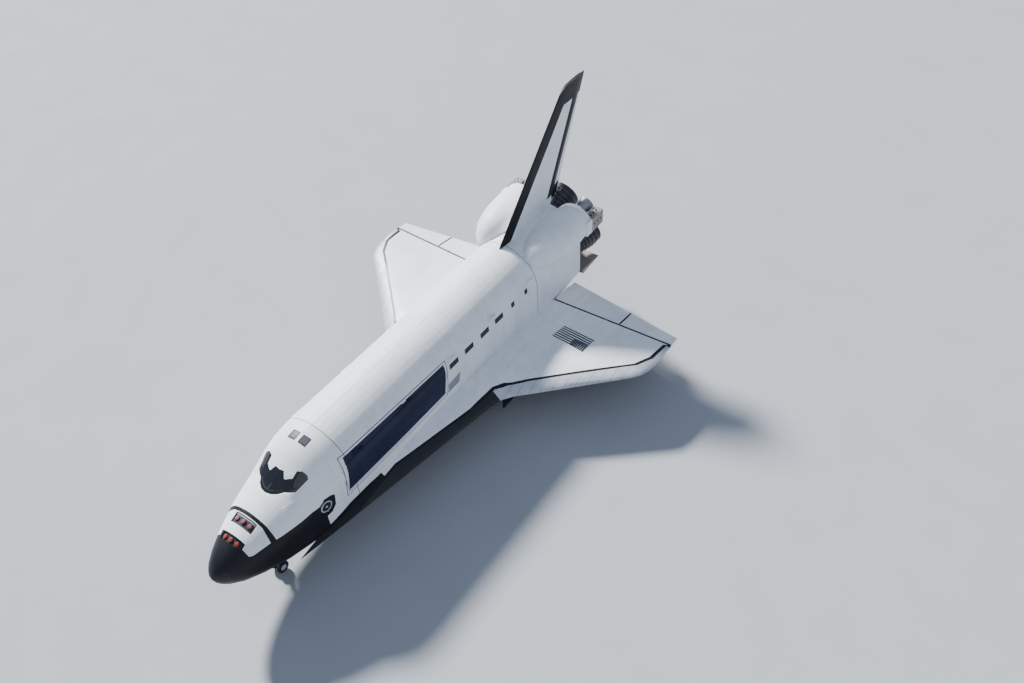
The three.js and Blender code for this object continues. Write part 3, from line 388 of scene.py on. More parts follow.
# Side border of the black nose and belly paint, (station, height); aft of STEP_STATION it goes in tiles
SIDE_BORDER = [
    (1.85, 9.0), (1.851, 5.03), (2.0, 5.0), (3.018, 5.19), (3.365, 5.23), (4.118, 5.281), (4.939, 5.357),
    (5.657, 5.443), (6.149, 5.43), (6.15, 4.337), (6.301, 4.337), (6.302, 3.433), (7.909, 3.683),
    (9.585, 3.647), (10.54, 3.517), (10.541, 2.6), (29.0, 2.6),
]
STEP = 8
STEP_STATION = SIDE_BORDER[STEP][0]
HATCH_SURROUND = [
    (6.149, 5.348), (6.50, 5.675), (6.9, 5.628), (7.21, 5.467), (7.11, 4.635), (6.75, 4.30), (6.149, 4.25),
]
# Black band across the nose behind the thruster module, its two edges as (distance from centre, station),
# and the least height that it reaches
BAND_FRONT = [(0.0, 3.25), (1.1, 3.24), (1.7, 3.06), (2.3, 2.9)]
BAND_BACK = [(0.0, 3.45), (1.2, 3.44), (1.85, 3.37), (2.3, 3.3)]
BAND_FOOT = 4.4
# Black field round the front thruster panel, its stations and its sides
FIELD_STATIONS = (1.5, 2.12)
FIELD_SIDES = (-0.95, 0.84)
# The belly is black below this height, where it faces down by more than this share
BELLY_TOP = 4.0
BELLY_FACING = -0.45
# Sign on the port side, (station, height): the navy sheet and the thin line round it
SIGN_SHEET = [(8.613, 6.97), (8.196, 4.725), (16.94, 4.6), (17.40, 6.72)]
SIGN_LINE = [(8.318, 7.12), (7.963, 4.35), (17.142, 4.29), (17.646, 6.86)]
SIGN_LINE_WIDTH = 0.05
TILE = 0.152
BLACK_TONES = ("090b12", "171b26")


@dataclass(frozen=True)
class SkinFinish(SeamedFinish):
    """White satin paint on fibreglass panels, with the black nose, belly and hatch surround.

    The paint gives broad soft highlights and shows faint seams where panels meet.
    """

    dark: Tones = BLACK_TONES
    liner: Tones = ("b9bab2", "8f9088")
    navy: Tones = ("161c38", "232b4c")
    line: str = "4a5060"
    heat_shield: str = "2b2a2b"
    # Stations at which two sections of the hull meet in a dark line, and its half width
    breaks: tuple[float, ...] = (0.62, 8.79, 27.2)
    break_half: float = 0.02

    def colours(self, chart: Chart) -> Socket:
        """Lays the paints of the hull over each other.

        Args:
            chart: The chart of the surface.

        Returns:
            White paint with its seams, black paint, sign sheet, bay liner and heat shield.
        """
        rings = chart.seams(chart.station, self.ring_pitch, self.seam_width)
        rows = chart.both(chart.seams(chart.height, self.row_pitch, self.seam_width), chart.upright)
        made = self.seamed(chart, chart.either(rings, rows))
        half = self.break_half
        breaks = [chart.within(chart.station, place - half, place + half) for place in self.breaks]
        made = chart.tint(made, linear(self.line), chart.either(*breaks))
        made = self.painted(chart, made, self.dark, self.black(chart))
        made = self.sign(chart, made)
        made = self.painted(chart, made, self.liner, self.bay(chart))
        return chart.tint(made, linear(self.heat_shield), chart.over(chart.station, SHIELD_STATION))

    def black(self, chart: Chart) -> Socket:
        """Draws the black paint.

        Args:
            chart: The chart of the surface.

        Returns:
            The mask of nose, side border, hatch surround, thruster field, band and belly.
        """
        tile = chart.tiled(chart.station, TILE)
        low = chart.over(chart.border(chart.station, SIDE_BORDER[: STEP + 1]), chart.height)
        front = chart.both(low, chart.over(STEP_STATION, chart.station))
        stepped = chart.over(chart.border(tile, SIDE_BORDER[STEP:]), chart.height)
        lower = chart.both(stepped, chart.over(chart.station, STEP_STATION))
        surround = chart.both(chart.patch(chart.station, chart.height, HATCH_SURROUND), chart.port)
        field = chart.both(chart.within(chart.station, *FIELD_STATIONS),
                           chart.within(chart.side, *FIELD_SIDES))
        band = chart.both(
            chart.over(chart.station, chart.border(chart.spread, BAND_FRONT)),
            chart.over(chart.border(chart.spread, BAND_BACK), chart.station),
            chart.over(chart.height, BAND_FOOT),
        )
        under = chart.graph.maths("LESS_THAN", chart.facing_up, BELLY_FACING)
        belly = chart.both(under, chart.over(BELLY_TOP, chart.height))
        return chart.either(lower, front, surround, field, band, belly)

    def sign(self, chart: Chart, base: Socket) -> Socket:
        """Lays the navy sheet and the thin dark line round it on the port side.

        Args:
            chart: The chart of the surface.
            base: The colour below the sign.

        Returns:
            The colour with the sign.
        """
        inside = chart.both(chart.patch(chart.station, chart.height, SIGN_SHEET), chart.port)
        inset = chart.inset(chart.station, chart.height, SIGN_LINE)
        edge = chart.both(chart.within(inset, 0.0, SIGN_LINE_WIDTH), chart.port)
        made = chart.tint(base, linear(self.line), edge)
        return self.painted(chart, made, self.navy, inside)

    def bay(self, chart: Chart) -> Socket:
        """Draws the lined payload bay.

        Args:
            chart: The chart of the surface.

        Returns:
            The mask of the liner.
        """
        drop = chart.graph.maths("SUBTRACT", chart.height, BAY_CENTRE)
        flat = chart.graph.add("ShaderNodeCombineXYZ", {0: chart.side, 1: drop})
        reach = chart.graph.add("ShaderNodeVectorMath", {0: flat}, "Value", operation="LENGTH")
        return chart.both(chart.over(BAY_REACH, reach), chart.within(chart.station, *BAY_STATIONS))


# Inner border of the leading-edge panels in plan, (station, distance from the centreline), the width of
# the black line along it, the station at which that ends, and the one up to which the wing's root is black
LEADING_BORDER = [
    (11.6, 2.99), (17.5, 4.15), (19.65, 4.42), (20.45, 4.83), (21.55, 5.852), (23.95, 8.428),
    (26.3, 11.0), (27.35, 11.56), (28.9, 11.69), (29.3, 12.5),
]
LEADING_LINE = [(17.5, 0.13), (20.5, 0.24)]
LEADING_END = 29.2
GLOVE_STATION = 10.5
# The wing is black where it faces down by more than this share
UNDER_FACING = -0.02
# The flag and its blue corner in plan, (station, distance to port)
FLAG = [(26.900, 4.961), (26.683, 7.518), (25.297, 7.453), (25.532, 4.869)]
CANTON = [(25.532, 6.28), (26.16, 6.28), (26.10, 7.49), (25.297, 7.453)]
# Station of the elevons' fore edge, the black line ahead of it, and the gap between the inboard and the
# outboard elevon
HINGE_STATION = 29.235
HINGE_LINE = (29.045, 29.205)
WING_BREAK = 7.95
BREAK_HALF = 0.07


@dataclass(frozen=True)
class WingFinish(SkinFinish):
    """White satin paint on the wing with a black underside, border lines and a striped flag."""

    ring_pitch: float = 1.83
    row_pitch: float = 1.37
    seam_share: float = 0.25
    stripe: str = "21141f"
    stripe_pitch: float = 0.213
    # How the stripes lean, where the first one starts, and the light share of a pitch
    stripe_skew: float = 0.085
    stripe_start: float = 0.1015
    stripe_light: float = 0.2
    dots_a_metre: float = 7.0
    dot_radius: float = 0.17

    def colours(self, chart: Chart) -> Socket:
        """Lays the paints of the wing over each other.

        Args:
            chart: The chart of the surface.

        Returns:
            White paint with seams, the flag, the black lines and the black underside.
        """
        rings = chart.seams(chart.station, self.ring_pitch, self.seam_width)
        rows = chart.seams(chart.side, self.row_pitch, self.seam_width)
        made = self.flag(chart, self.seamed(chart, chart.either(rings, rows)))
        return self.painted(chart, made, self.dark, self.black(chart))

    def flag(self, chart: Chart, base: Socket) -> Socket:
        """Lays a striped flag with a dotted canton on the port wing.

        Args:
            chart: The chart of the surface.
            base: The colour below the flag.

        Returns:
            The colour with the flag.
        """
        graph = chart.graph
        skew = graph.maths("MULTIPLY_ADD", chart.side, self.stripe_skew, self.stripe_start)
        across = graph.maths("ADD", chart.station, skew)
        cloth = chart.both(chart.patch(chart.station, chart.side, FLAG), chart.port)
        swing = graph.maths("PINGPONG", across, self.stripe_pitch / 2)
        stripes = chart.over(swing, self.stripe_pitch * self.stripe_light)
        made = chart.tint(base, linear(self.stripe), chart.both(cloth, stripes))
        corner = chart.both(chart.patch(chart.station, chart.side, CANTON), chart.port)
        made = chart.tint(made, linear(self.navy[0]), corner)
        flat = graph.add("ShaderNodeCombineXYZ", {0: chart.station, 1: chart.side})
        feeds = {"Vector": flat, "Scale": self.dots_a_metre, "Randomness": 0.0}
        spots = graph.add("ShaderNodeTexVoronoi", feeds, voronoi_dimensions="2D")
        dots = chart.over(self.dot_radius, spots)
        return chart.tint(made, linear(self.colour), chart.both(corner, dots))

    def black(self, chart: Chart) -> Socket:
        """Draws the border lines and the underside.

        Args:
            chart: The chart of the surface.

        Returns:
            The mask of the black paint.
        """
        under = chart.graph.maths("LESS_THAN", chart.facing_up, UNDER_FACING)
        border = chart.border(chart.station, LEADING_BORDER)
        slack = chart.graph.maths("SUBTRACT", border, chart.spread)
        wide = chart.border(chart.station, LEADING_LINE)
        rim = chart.both(chart.over(wide, slack), chart.within(chart.station, GLOVE_STATION, LEADING_END))
        glove = chart.over(GLOVE_STATION, chart.tiled(chart.station, TILE))
        hinge = chart.within(chart.station, *HINGE_LINE)
        gap = chart.both(chart.within(chart.spread, WING_BREAK - BREAK_HALF, WING_BREAK + BREAK_HALF),
                         chart.over(chart.station, HINGE_STATION))
        return chart.either(under, rim, glove, hinge, gap)


# Fin borders: leading edge and hinge line as (height, station), and the black bands along them as their
# least and greatest distance aft of the line
FIN_LEADING = [(7.6, 26.0053), (16.281, 34.549)]
FIN_HINGE = [(7.6, 31.6025), (16.281, 36.5941)]
LEADING_BAND = (-1.0, 1.15)
HINGE_BAND = (-0.38, 0.44)
# Heights of the black cap's foot and of the hinge band's foot
FIN_CAP = 15.08
HINGE_FOOT = 9.0
# Black corner at the foot of the rudder: distances aft of the hinge line, heights and foremost station
CORNER_BAND = (0.0, 2.2)
CORNER_HEIGHTS = (8.6, 9.55)
CORNER_STATION = 32.7


@dataclass(frozen=True)
class FinFinish(SkinFinish):
    """White satin paint on the fin and rudder, with a black leading band, cap and hinge line."""

    row_pitch: float = 1.15

    def colours(self, chart: Chart) -> Socket:
        """Returns white paint with seams and the black bands."""
        made = self.seamed(chart, chart.seams(chart.height, self.row_pitch, self.seam_width))
        return self.painted(chart, made, self.dark, self.black(chart))

    def black(self, chart: Chart) -> Socket:
        """Draws the leading band, the cap, the hinge line and the foot of the rudder.

        Args:
            chart: The chart of the surface.

        Returns:
            The mask of the black paint.
        """
        leading, hinge = [
            chart.graph.maths("SUBTRACT", chart.station, chart.border(chart.height, line))
            for line in (FIN_LEADING, FIN_HINGE)
        ]
        band = chart.within(leading, *LEADING_BAND)
        line = chart.both(chart.within(hinge, *HINGE_BAND), chart.over(chart.height, HINGE_FOOT))
        cap = chart.over(chart.height, FIN_CAP)
        foot = chart.both(chart.within(hinge, *CORNER_BAND), chart.within(chart.height, *CORNER_HEIGHTS),
                          chart.over(chart.station, CORNER_STATION))
        return chart.either(band, line, cap, foot)


@dataclass(frozen=True)
class EdgeFinish(Finish):
    """Pale grey paint on moulded leading-edge panels, with a gap between each two and a black fore part."""

    gap: str = "8f959e"
    gap_width: float = 0.03
    # Distance from the centreline up to which gaps are drawn, so that none runs along the wing tip
    gaps_to: float = 11.1
    black_to: float = 19.45
    panel: float = 0.56

    def colours(self, chart: Chart) -> Socket:
        """Lays the paints of the leading edge over each other.

        Args:
            chart: The chart of the surface.

        Returns:
            Grey paint with its panel gaps, and black paint ahead of the wing's break.
        """
        made = self.drift(chart, self.colour, self.worn)
        gaps = chart.seams(chart.spread, self.panel, self.gap_width)
        gaps = chart.both(gaps, chart.over(self.gaps_to, chart.spread))
        made = chart.tint(made, linear(self.gap), gaps)
        return self.painted(chart, made, BLACK_TONES, chart.over(self.black_to, chart.station))


@dataclass(frozen=True)
class PodFinish(SeamedFinish):
    """White satin paint on a pod, with a bare brownish housing at its back end."""

    ring_pitch: float = 1.4
    bare: Tones = ("8f877f", "6f6660")
    bare_from: float = 32.55
    bare_beyond: float = 2.8

    def colours(self, chart: Chart) -> Socket:
        """Lays the bare housing over the painted pod.

        Args:
            chart: The chart of the surface.

        Returns:
            White paint with seams round the pod, and the bare housing.
        """
        made = self.seamed(chart, chart.seams(chart.station, self.ring_pitch, self.seam_width))
        back, outer = chart.over(chart.station, self.bare_from), chart.over(chart.spread, self.bare_beyond)
        return self.painted(chart, made, self.bare, chart.both(back, outer))


@dataclass(frozen=True)
class GlassFinish(Finish):
    """Tinted pane, dark and smooth, that bends light as window glass does."""

    refraction: float = 1.52

    def material(self) -> bpy.types.Material:
        """Builds the material and sets its refraction.

        Returns:
            The material.
        """
        made = super().material()
        shader = next(n for n in made.node_tree.nodes if n.type == "BSDF_PRINCIPLED")
        shader.inputs["IOR"].default_value = self.refraction
        return made


# White notch in the top edge of the windshield's panes, as (station, distance from the centreline)
NOTCH_FORE = [(5.74, 0.56), (6.02, 0.96), (6.20, 0.90), (6.04, 0.34)]
NOTCH_BACK = [(6.02, 0.34), (6.02, 0.96), (6.9, 1.02), (6.9, 0.30)]


@dataclass(frozen=True)
class WindshieldFinish(GlassFinish):
    """Tinted pane with the white fairing painted over the notches in its top edge."""

    fairing: str = "e9ebec"

    def colours(self, chart: Chart) -> Socket:
        """Returns the pane's colour with the painted notches."""
        notches = [chart.patch(chart.station, chart.spread, notch) for notch in (NOTCH_FORE, NOTCH_BACK)]
        return chart.tint(super().colours(chart), linear(self.fairing), chart.either(*notches))


WHITE_PAINT: dict[str, Any] = {
    "colour": "f1f3f4", "worn": "d9dcdf", "roughness": 0.5, "coat": 0.03, "wear": 0.5, "specular": 0.3,
}
PANE: dict[str, Any] = {"coat": 0.6, "grain_depth_mm": 0.0}


class Coat(Enum):
    """The finishes of the orbiter and of the studio floor."""

    # Satin paint on fibreglass: white that drifts to pale grey with broad soft highlights, black where it
    # is masked
    SKIN = SkinFinish("painted fibreglass skin", **WHITE_PAINT)
    WING = WingFinish("painted wing skin", **WHITE_PAINT)
    FIN = FinFinish("painted fin skin", **WHITE_PAINT)
    POD = PodFinish("painted pod skin", **WHITE_PAINT)
    # Black satin paint on nose cap, hatch and gear doors: blue-black with a dull sheen
    BLACK = Finish("black satin paint", "0b0d14", "1a1e29", roughness=0.48, coat=0.03, specular=0.35)
    # Moulded leading-edge panels: cool pale grey, a little glossier than the skin
    EDGE = EdgeFinish("pale grey edge panel paint", "c3c8cf", "a6acb5", roughness=0.42)
    # Tinted panes: nearly black with sharp reflections
    GLASS = GlassFinish("tinted window pane", "0a0c10", "10131a", roughness=0.12, **PANE)
    WINDSHIELD = WindshieldFinish("tinted windshield pane", "0a0c10", "10131a", roughness=0.14, **PANE)
    # Overhead panes: mid grey with a soft sheen
    GREY_GLASS = GlassFinish("grey tinted pane", "55565c", "484a50",
                             roughness=0.2, coat=0.3, grain_depth_mm=0.0)
    # Small fittings and rivets: dull slate grey, half metal
    FRAME = Finish("painted aluminium strip", "4a4e5b", "353946", roughness=0.5, metallic=0.3, patch_mm=500)
    # Window posts: matt, a shade lighter than the panes
    POST = Finish("dark painted window post", "1b1e26", "14161c", roughness=0.6, patch_mm=400, specular=0.25)
    # Bright strips and rings: pale grey with a metal sheen; the same finish makes the small disc in the
    # middle of the hatch pane, a painted highlight
    TRIM_AND_HIGHLIGHT = Finish("pale aluminium strip and painted highlight", "b9bec8", "8e949f", roughness=0.42, metallic=0.4, patch_mm=500)
    # Rolled nozzle sheet: dark metal with brown heat stains
    ENGINE = Finish("heat-stained nickel alloy", "34353b", "4d4842",
                    roughness=0.42, metallic=0.85, patch_mm=700)
    # Hoops and feed lines: a lighter metal that stands out on the nozzle
    HOOP = Finish("nozzle stiffening hoop steel", "6b6c74", "4a4a50",
                  roughness=0.38, metallic=0.85, patch_mm=500)
    # Inside of nozzles: sooty and dull; the same finish fills the thrusters' mouths as flat discs of painted
    # shade in place of their hollows
    INSIDE = Finish("sooty nozzle lining and painted shade", "17171a", "242325", roughness=0.6, metallic=0.5, patch_mm=500)
    # Forged gear legs and rims: smooth light grey under a glossy coat
    ENAMEL = Finish("grey gear enamel", "c5c8cc", "94979c",
                    roughness=0.36, patch_mm=350, grain_mm=12, coat=0.25)
    # Rudder post and bolts: bright bare metal
    CHROME = Finish("ground chrome piston", "c9ccd2", "aeb2ba",
                    roughness=0.2, metallic=1.0, patch_mm=250, wear=0.3)
    # Tyres: matt black that dust turns brownish in patches
    RUBBER = Finish("moulded tyre rubber", "17171a", "34322f", roughness=0.82, patch_mm=260, grain_mm=6)
    # Thruster panels: flat dark olive-grey
    PANEL = Finish("dark thruster panel paint", "22231f", "38382f", roughness=0.6, patch_mm=300)
    # Thruster covers: woven and matt, deep red in front and faded to rose behind
    RED = Finish("red cover fabric", "8c1713", "a83a22", roughness=0.75, patch_mm=120, grain_mm=8, wear=0.9)
    PINK = Finish("faded red cover fabric", "8a2b45", "c06a80",
                  roughness=0.75, patch_mm=120, grain_mm=8, wear=0.9)
    # Body flap: brown-grey, flat; painted shade, the tone that the white flap shows in shade
    SHADED_FLAP = Finish("faded brown-grey paint", "9a8e89", "7a6f6a", roughness=0.6, patch_mm=500)
    # Vents: near-black plates behind the slats, painted shade that stands in for the hollow of each opening,
    # with little sheen
    VENT_SHADE = Finish("louvre painted shade", "15181f", "262b35", roughness=0.55, patch_mm=300)
    # Access plate: flat mid grey on the white skin
    PLATE = Finish("mid grey access plate paint", "8a919c", "747b87", roughness=0.5, patch_mm=600)
    # Thin sheet nozzles and thruster rims: bare light grey metal
    BARE = Finish("bare niobium nozzle", "93949a", "6e6d70", roughness=0.4, metallic=0.6, patch_mm=400)
    # Frames of the payload bay: dull green-grey primer
    RIB = Finish("zinc-chromate bay frame primer", "8d9a7c", "747f68", roughness=0.55, patch_mm=400)
    # Studio floor: pale, matt and even, with broad soft drifts
    FLOOR = Finish("pale studio floor", "a9acb0", "a4a7ab",
                   roughness=0.85, patch_mm=9000, grain_depth_mm=0.0)


class Paintshop:
    """Makes each finish once and hands out its material."""

    made: dict[Coat, bpy.types.Material] = {}

    @classmethod
    def get(cls, coat: Coat) -> bpy.types.Material:
        """Returns the material of a finish.

        Args:
            coat: The finish.

        Returns:
            Its material.
        """
        if coat not in cls.made:
            cls.made[coat] = coat.value.material()
        return cls.made[coat]


def mesh_from(made: bmesh.types.BMesh, name: str) -> bpy.types.Mesh:
    """Turns an edited mesh into a mesh with smooth faces and sharp corners.

    Args:
        made: The edited mesh, freed here.
        name: The name of the new mesh.

    Returns:
        The mesh.
    """
    bmesh.ops.recalc_face_normals(made, faces=made.faces)
    mesh = bpy.data.meshes.new(name)
    made.to_mesh(mesh)
    made.free()
    mesh.shade_smooth()
    mesh.set_sharp_from_angle(angle=SMOOTH_ANGLE)
    return mesh


def settle(name: str, mesh: bpy.types.Mesh, body: str,
           coats: Sequence[Coat] = ()) -> bpy.types.Object:
    """Makes a piece of a mesh and lets it ride on a body.

    Args:
        name: The name of the piece.
        mesh: Its mesh, with its place in it.
        body: The body that it moves with.
        coats: Its finishes, in the order of the mesh's material numbers.

    Returns:
        The new object.
    """
    for coat in coats:
        mesh.materials.append(Paintshop.get(coat))
    made = bpy.data.objects.new(name, mesh)
    bpy.context.scene.collection.objects.link(made)
    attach(made, body)
    log.info("%s: %d faces on %s", name, len(mesh.polygons), body)
    return made


def body_of_node(node: str) -> str:
    """Returns the body that a CAD node rides on."""
    return body_of(frame["nodes"][node])[0]


def finer(made: bmesh.types.BMesh, longest: float) -> None:
    """Halves long edges until none is longer than a limit; the surface stays where it is.

    Args:
        made: The mesh to edit.
        longest: The limit.
    """
    for _ in range(HALVINGS):
        edges = [edge for edge in made.edges if edge.calc_length() > longest]
        if not edges:
            return
        bmesh.ops.subdivide_edges(made, edges=edges, cuts=1)
        bmesh.ops.triangulate(made, faces=[face for face in made.faces if len(face.verts) > 3])


def blended_face_normals(faces: np.ndarray, normals: np.ndarray, areas: np.ndarray,
                         points: np.ndarray) -> np.ndarray:
    """Averages each face's normal with those across its soft edges, over and over.

    Args:
        faces: Three vertex numbers a face.
        normals: The face normals.
        areas: The face areas.
        points: The vertices.

    Returns:
        The blended normals.
    """
    edges = np.sort(faces[:, [0, 1, 1, 2, 2, 0]].reshape(-1, 2), axis=1)
    owners = np.repeat(np.arange(len(faces)), 3)
    order = np.lexsort((edges[:, 1], edges[:, 0]))
    edges, owners = edges[order], owners[order]
    same = np.flatnonzero((edges[1:] == edges[:-1]).all(axis=1))
    one, other = owners[same], owners[same + 1]
    lengths = np.linalg.norm(points[edges[same, 0]] - points[edges[same, 1]], axis=1)
    soft = (normals[one] * normals[other]).sum(axis=1) > math.cos(SMOOTH_ANGLE)
    one, other, weight = one[soft], other[soft], (lengths[soft] * BLEND_REACH)[:, None]
    blended = normals.copy()
    for _ in range(BLEND_ROUNDS):
        total = blended * areas[:, None]
        np.add.at(total, one, blended[other] * weight)
        np.add.at(total, other, blended[one] * weight)
        blended = total / np.maximum(np.linalg.norm(total, axis=1), 1e-12)[:, None]
    return blended


def even_normals(mesh: bpy.types.Mesh) -> None:
    """Gives a mesh of triangles normals that run evenly over its soft edges, to hide its facets.

    Each corner of a face takes the blended normals of the faces round its vertex that turn from its own
    by less than a sharp corner, weighted by the root of their areas.

    Args:
        mesh: The mesh, with its sharp edges marked.
    """
    count = len(mesh.polygons)
    faces, normals, areas = np.empty(count * 3, dtype=np.int64), np.empty(count * 3), np.empty(count)
    points = np.empty(len(mesh.vertices) * 3)
    mesh.polygons.foreach_get("vertices", faces)
    mesh.polygons.foreach_get("normal", normals)
    mesh.polygons.foreach_get("area", areas)
    mesh.vertices.foreach_get("co", points)
    normals = blended_face_normals(faces.reshape(-1, 3), normals.reshape(-1, 3), areas, points.reshape(-1, 3))
    order = np.argsort(faces, kind="stable")
    numbers = faces[order]
    counts = np.bincount(numbers, minlength=len(mesh.vertices))
    starts = np.cumsum(counts) - counts
    repeats = counts[numbers]
    left = np.repeat(np.arange(len(order)), repeats)
    right = starts[numbers[left]] + np.arange(len(left)) - np.repeat(np.cumsum(repeats) - repeats, repeats)
    mine, near = order[left] // 3, order[right] // 3
    close = (normals[mine] * normals[near]).sum(axis=1) > math.cos(SMOOTH_ANGLE)
    total = np.zeros((len(order), 3))
    np.add.at(total, order[left[close]], normals[near[close]] * np.sqrt(areas[near[close]] + 1e-9)[:, None])
    mesh.normals_split_custom_set((total / np.linalg.norm(total, axis=1)[:, None]).tolist())


def dress(node: str, coat: Coat) -> bpy.types.Object:
    """Puts a smooth painted copy in the place of a CAD node.

    Args:
        node: The node's name.
        coat: Its finish.

    Returns:
        The copy.
    """
    made = bmesh.new()
    made.from_mesh(frame["nodes"][node].data)
    bmesh.ops.remove_doubles(made, verts=made.verts, dist=WELD)
    finer(made, SKIN_CELL)
    mesh = bpy.data.meshes.new(f"{node}_skin")
    made.to_mesh(mesh)
    made.free()
    mesh.materials.clear()
    mesh.shade_smooth()
    mesh.set_sharp_from_angle(angle=SMOOTH_ANGLE)
    even_normals(mesh)
    piece = settle(f"{node}_dressed", mesh, body_of_node(node), [coat])
    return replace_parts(piece, node)


class Surface:
    """The outside of some CAD nodes, on which trim is laid."""

    def __init__(self, *nodes: str) -> None:
        """Joins the nodes' faces in one search tree.

        Args:
            *nodes: Names of the nodes.
        """
        points: list[Vector] = []
        faces: list[list[int]] = []
        for node in nodes:
            mesh = frame["nodes"][node].data
            faces += [[len(points) + i for i in polygon.vertices] for polygon in mesh.polygons]
            points += [vertex.co.copy() for vertex in mesh.vertices]
        self.tree = BVHTree.FromPolygons(points, faces)

    def near(self, point: Vector) -> tuple[Vector, Vector]:
        """Returns the nearest place on the surface and the way that it faces."""
        place, normal, _, _ = self.tree.find_nearest(point)
        return place, normal

    def along(self, point: Vector, way: Vector) -> tuple[Vector, Vector] | None:
        """Returns where a ray from a point meets the surface, with the way it faces there."""
        place, normal, _, _ = self.tree.ray_cast(point, way)
        return None if place is None else (place, normal)

    def below(self, station: float, side: float) -> Vector:
        """Returns the place on the surface that is seen from above at a station and side."""
        return self.along(at(station, side, ABOVE), DOWN)[0]


def resampled(path: Sequence[Vector], step: float, closed: bool = False) -> list[Vector]:
    """Spaces points evenly along a path.

    Args:
        path: Its corners.
        step: The greatest distance between two points.
        closed: Whether the last corner joins the first.

    Returns:
        The points, with every corner kept.
    """
    corners = [*path, path[0]] if closed else list(path)
    points = [corners[0]]
    for start, end in zip(corners, corners[1:]):
        count = max(1, math.ceil((end - start).length / step))
        points += [start.lerp(end, i / count) for i in range(1, count + 1)]
    return points[:-1] if closed else points


def circle(centre: Vector, u: Vector, v: Vector, radius: float, count: int) -> list[Vector]:
    """Spaces points evenly round a circle.

    Args:
        centre: Its middle.
        u: The way from the middle to the first point.
        v: The way to the point a quarter turn on.
        radius: Its radius.
        count: How many points.

    Returns:
        The points.
    """
    turns = [2 * math.pi * k / count for k in range(count)]
    return [centre + (u * math.cos(t) + v * math.sin(t)) * radius for t in turns]


def skinned(rings: Sequence[Sequence[Vector]], closed: bool = False) -> bmesh.types.BMesh:
    """Lays a skin over rings of points.

    Args:
        rings: The rings, each with as many points as the next.
        closed: Whether the last ring joins the first. The two get an end face each if it doesn't.

    Returns:
        The skin as an edited mesh.
    """
    made = bmesh.new()
    loops = [[made.verts.new(point) for point in ring] for ring in rings]
    for a, b in zip(loops, loops[1:] + (loops[:1] if closed else [])):
        for i in range(len(a)):
            j = (i + 1) % len(a)
            made.faces.new((a[i], a[j], b[j], b[i]))
    if not closed:
        made.faces.new(loops[0])
        made.faces.new(list(reversed(loops[-1])))
    return made


def ribbon(surface: Surface, path: Sequence[Vector], width: float, lift: float, closed: bool = False,
           sink: float = 0.006, step: float = 0.12) -> bmesh.types.BMesh:
    """Lays a flat strip along a path on a surface.

    Args:
        surface: What it lies on.
        path: Corners near the surface.
        width: The strip's width.
        lift: How far it stands proud.
        closed: Whether it runs round to its start.
        sink: How far it goes below the surface.
        step: The greatest distance between two of its sections.

    Returns:
        The strip as an edited mesh.
    """
    laid = [surface.near(point) for point in resampled(path, step, closed)]
    rings = []
    count = len(laid)
    for i, (place, normal) in enumerate(laid):
        before = laid[i - 1][0] if i or closed else place
        after = laid[(i + 1) % count][0] if i + 1 < count or closed else place
        side = (after - before).cross(normal).normalized() * (width / 2)
        rings.append([place + side - normal * sink, place + side + normal * lift,
                      place - side + normal * lift, place - side - normal * sink])
    return skinned(rings, closed)


def sheet(surface: Surface, outline: Sequence[Vector], way: Vector, lift: float, grid: float = 0.2,
          sink: float = 0.006) -> bmesh.types.BMesh:
    """Lays a flat outline on a surface as a thin plate.

    Args:
        surface: What it lies on.
        outline: Corners off the surface, in one plane square to way.
        way: The way in which the outline is dropped onto the surface.
        lift: How far the plate stands proud.
        grid: The size of the plate's faces.
        sink: How far it goes below the surface.

    Returns:
        The plate as an edited mesh.
    """
    made = bmesh.new()
    made.faces.new([made.verts.new(point) for point in outline])
    for axis in range(3):
        if abs(way[axis]) > 0.9:
            continue
        normal = Vector([1.0 if i == axis else 0.0 for i in range(3)])
        low = min(point[axis] for point in outline)
        high = max(point[axis] for point in outline)
        cuts = math.floor((high - low) / grid)
        for i in range(1, cuts + 1):
            place = normal * (low + i * (high - low) / (cuts + 1))
            parts = [*made.verts, *made.edges, *made.faces]
            bmesh.ops.bisect_plane(made, geom=parts, plane_co=place, plane_no=normal, dist=1e-5)
    normals = {}
    for vertex in made.verts:
        met = surface.along(vertex.co, way)
        if met is None:
            met = surface.near(vertex.co)
        vertex.co, normals[vertex] = met[0].copy(), met[1].copy()
    top = list(made.faces)
    grown = bmesh.ops.extrude_face_region(made, geom=top)
    upper = [part for part in grown["geom"] if isinstance(part, bmesh.types.BMVert)]
    for vertex in upper:
        vertex.co = vertex.co + surface.near(vertex.co)[1] * lift
    for vertex, normal in normals.items():
        if vertex.is_valid:
            vertex.co = vertex.co - normal * sink
    return made


def tube(path: Sequence[Vector], radius: float, sides: int = 10) -> bmesh.types.BMesh:
    """Builds a closed round tube along a path.

    Args:
        path: Its points.
        radius: Its radius.
        sides: How many faces go round it.

    Returns:
        The tube as an edited mesh.
    """
    rings = []
    across = Vector((0.0, 0.0, 1.0))
    for i, place in enumerate(path):
        way = (path[min(i + 1, len(path) - 1)] - path[max(i - 1, 0)]).normalized()
        if abs(way.dot(across)) > 0.95:
            across = way.orthogonal().normalized()
        u = way.cross(across).normalized()
        v = way.cross(u)
        across = -v
        rings.append(circle(place, u, v, radius, sides))
    return skinned(rings)


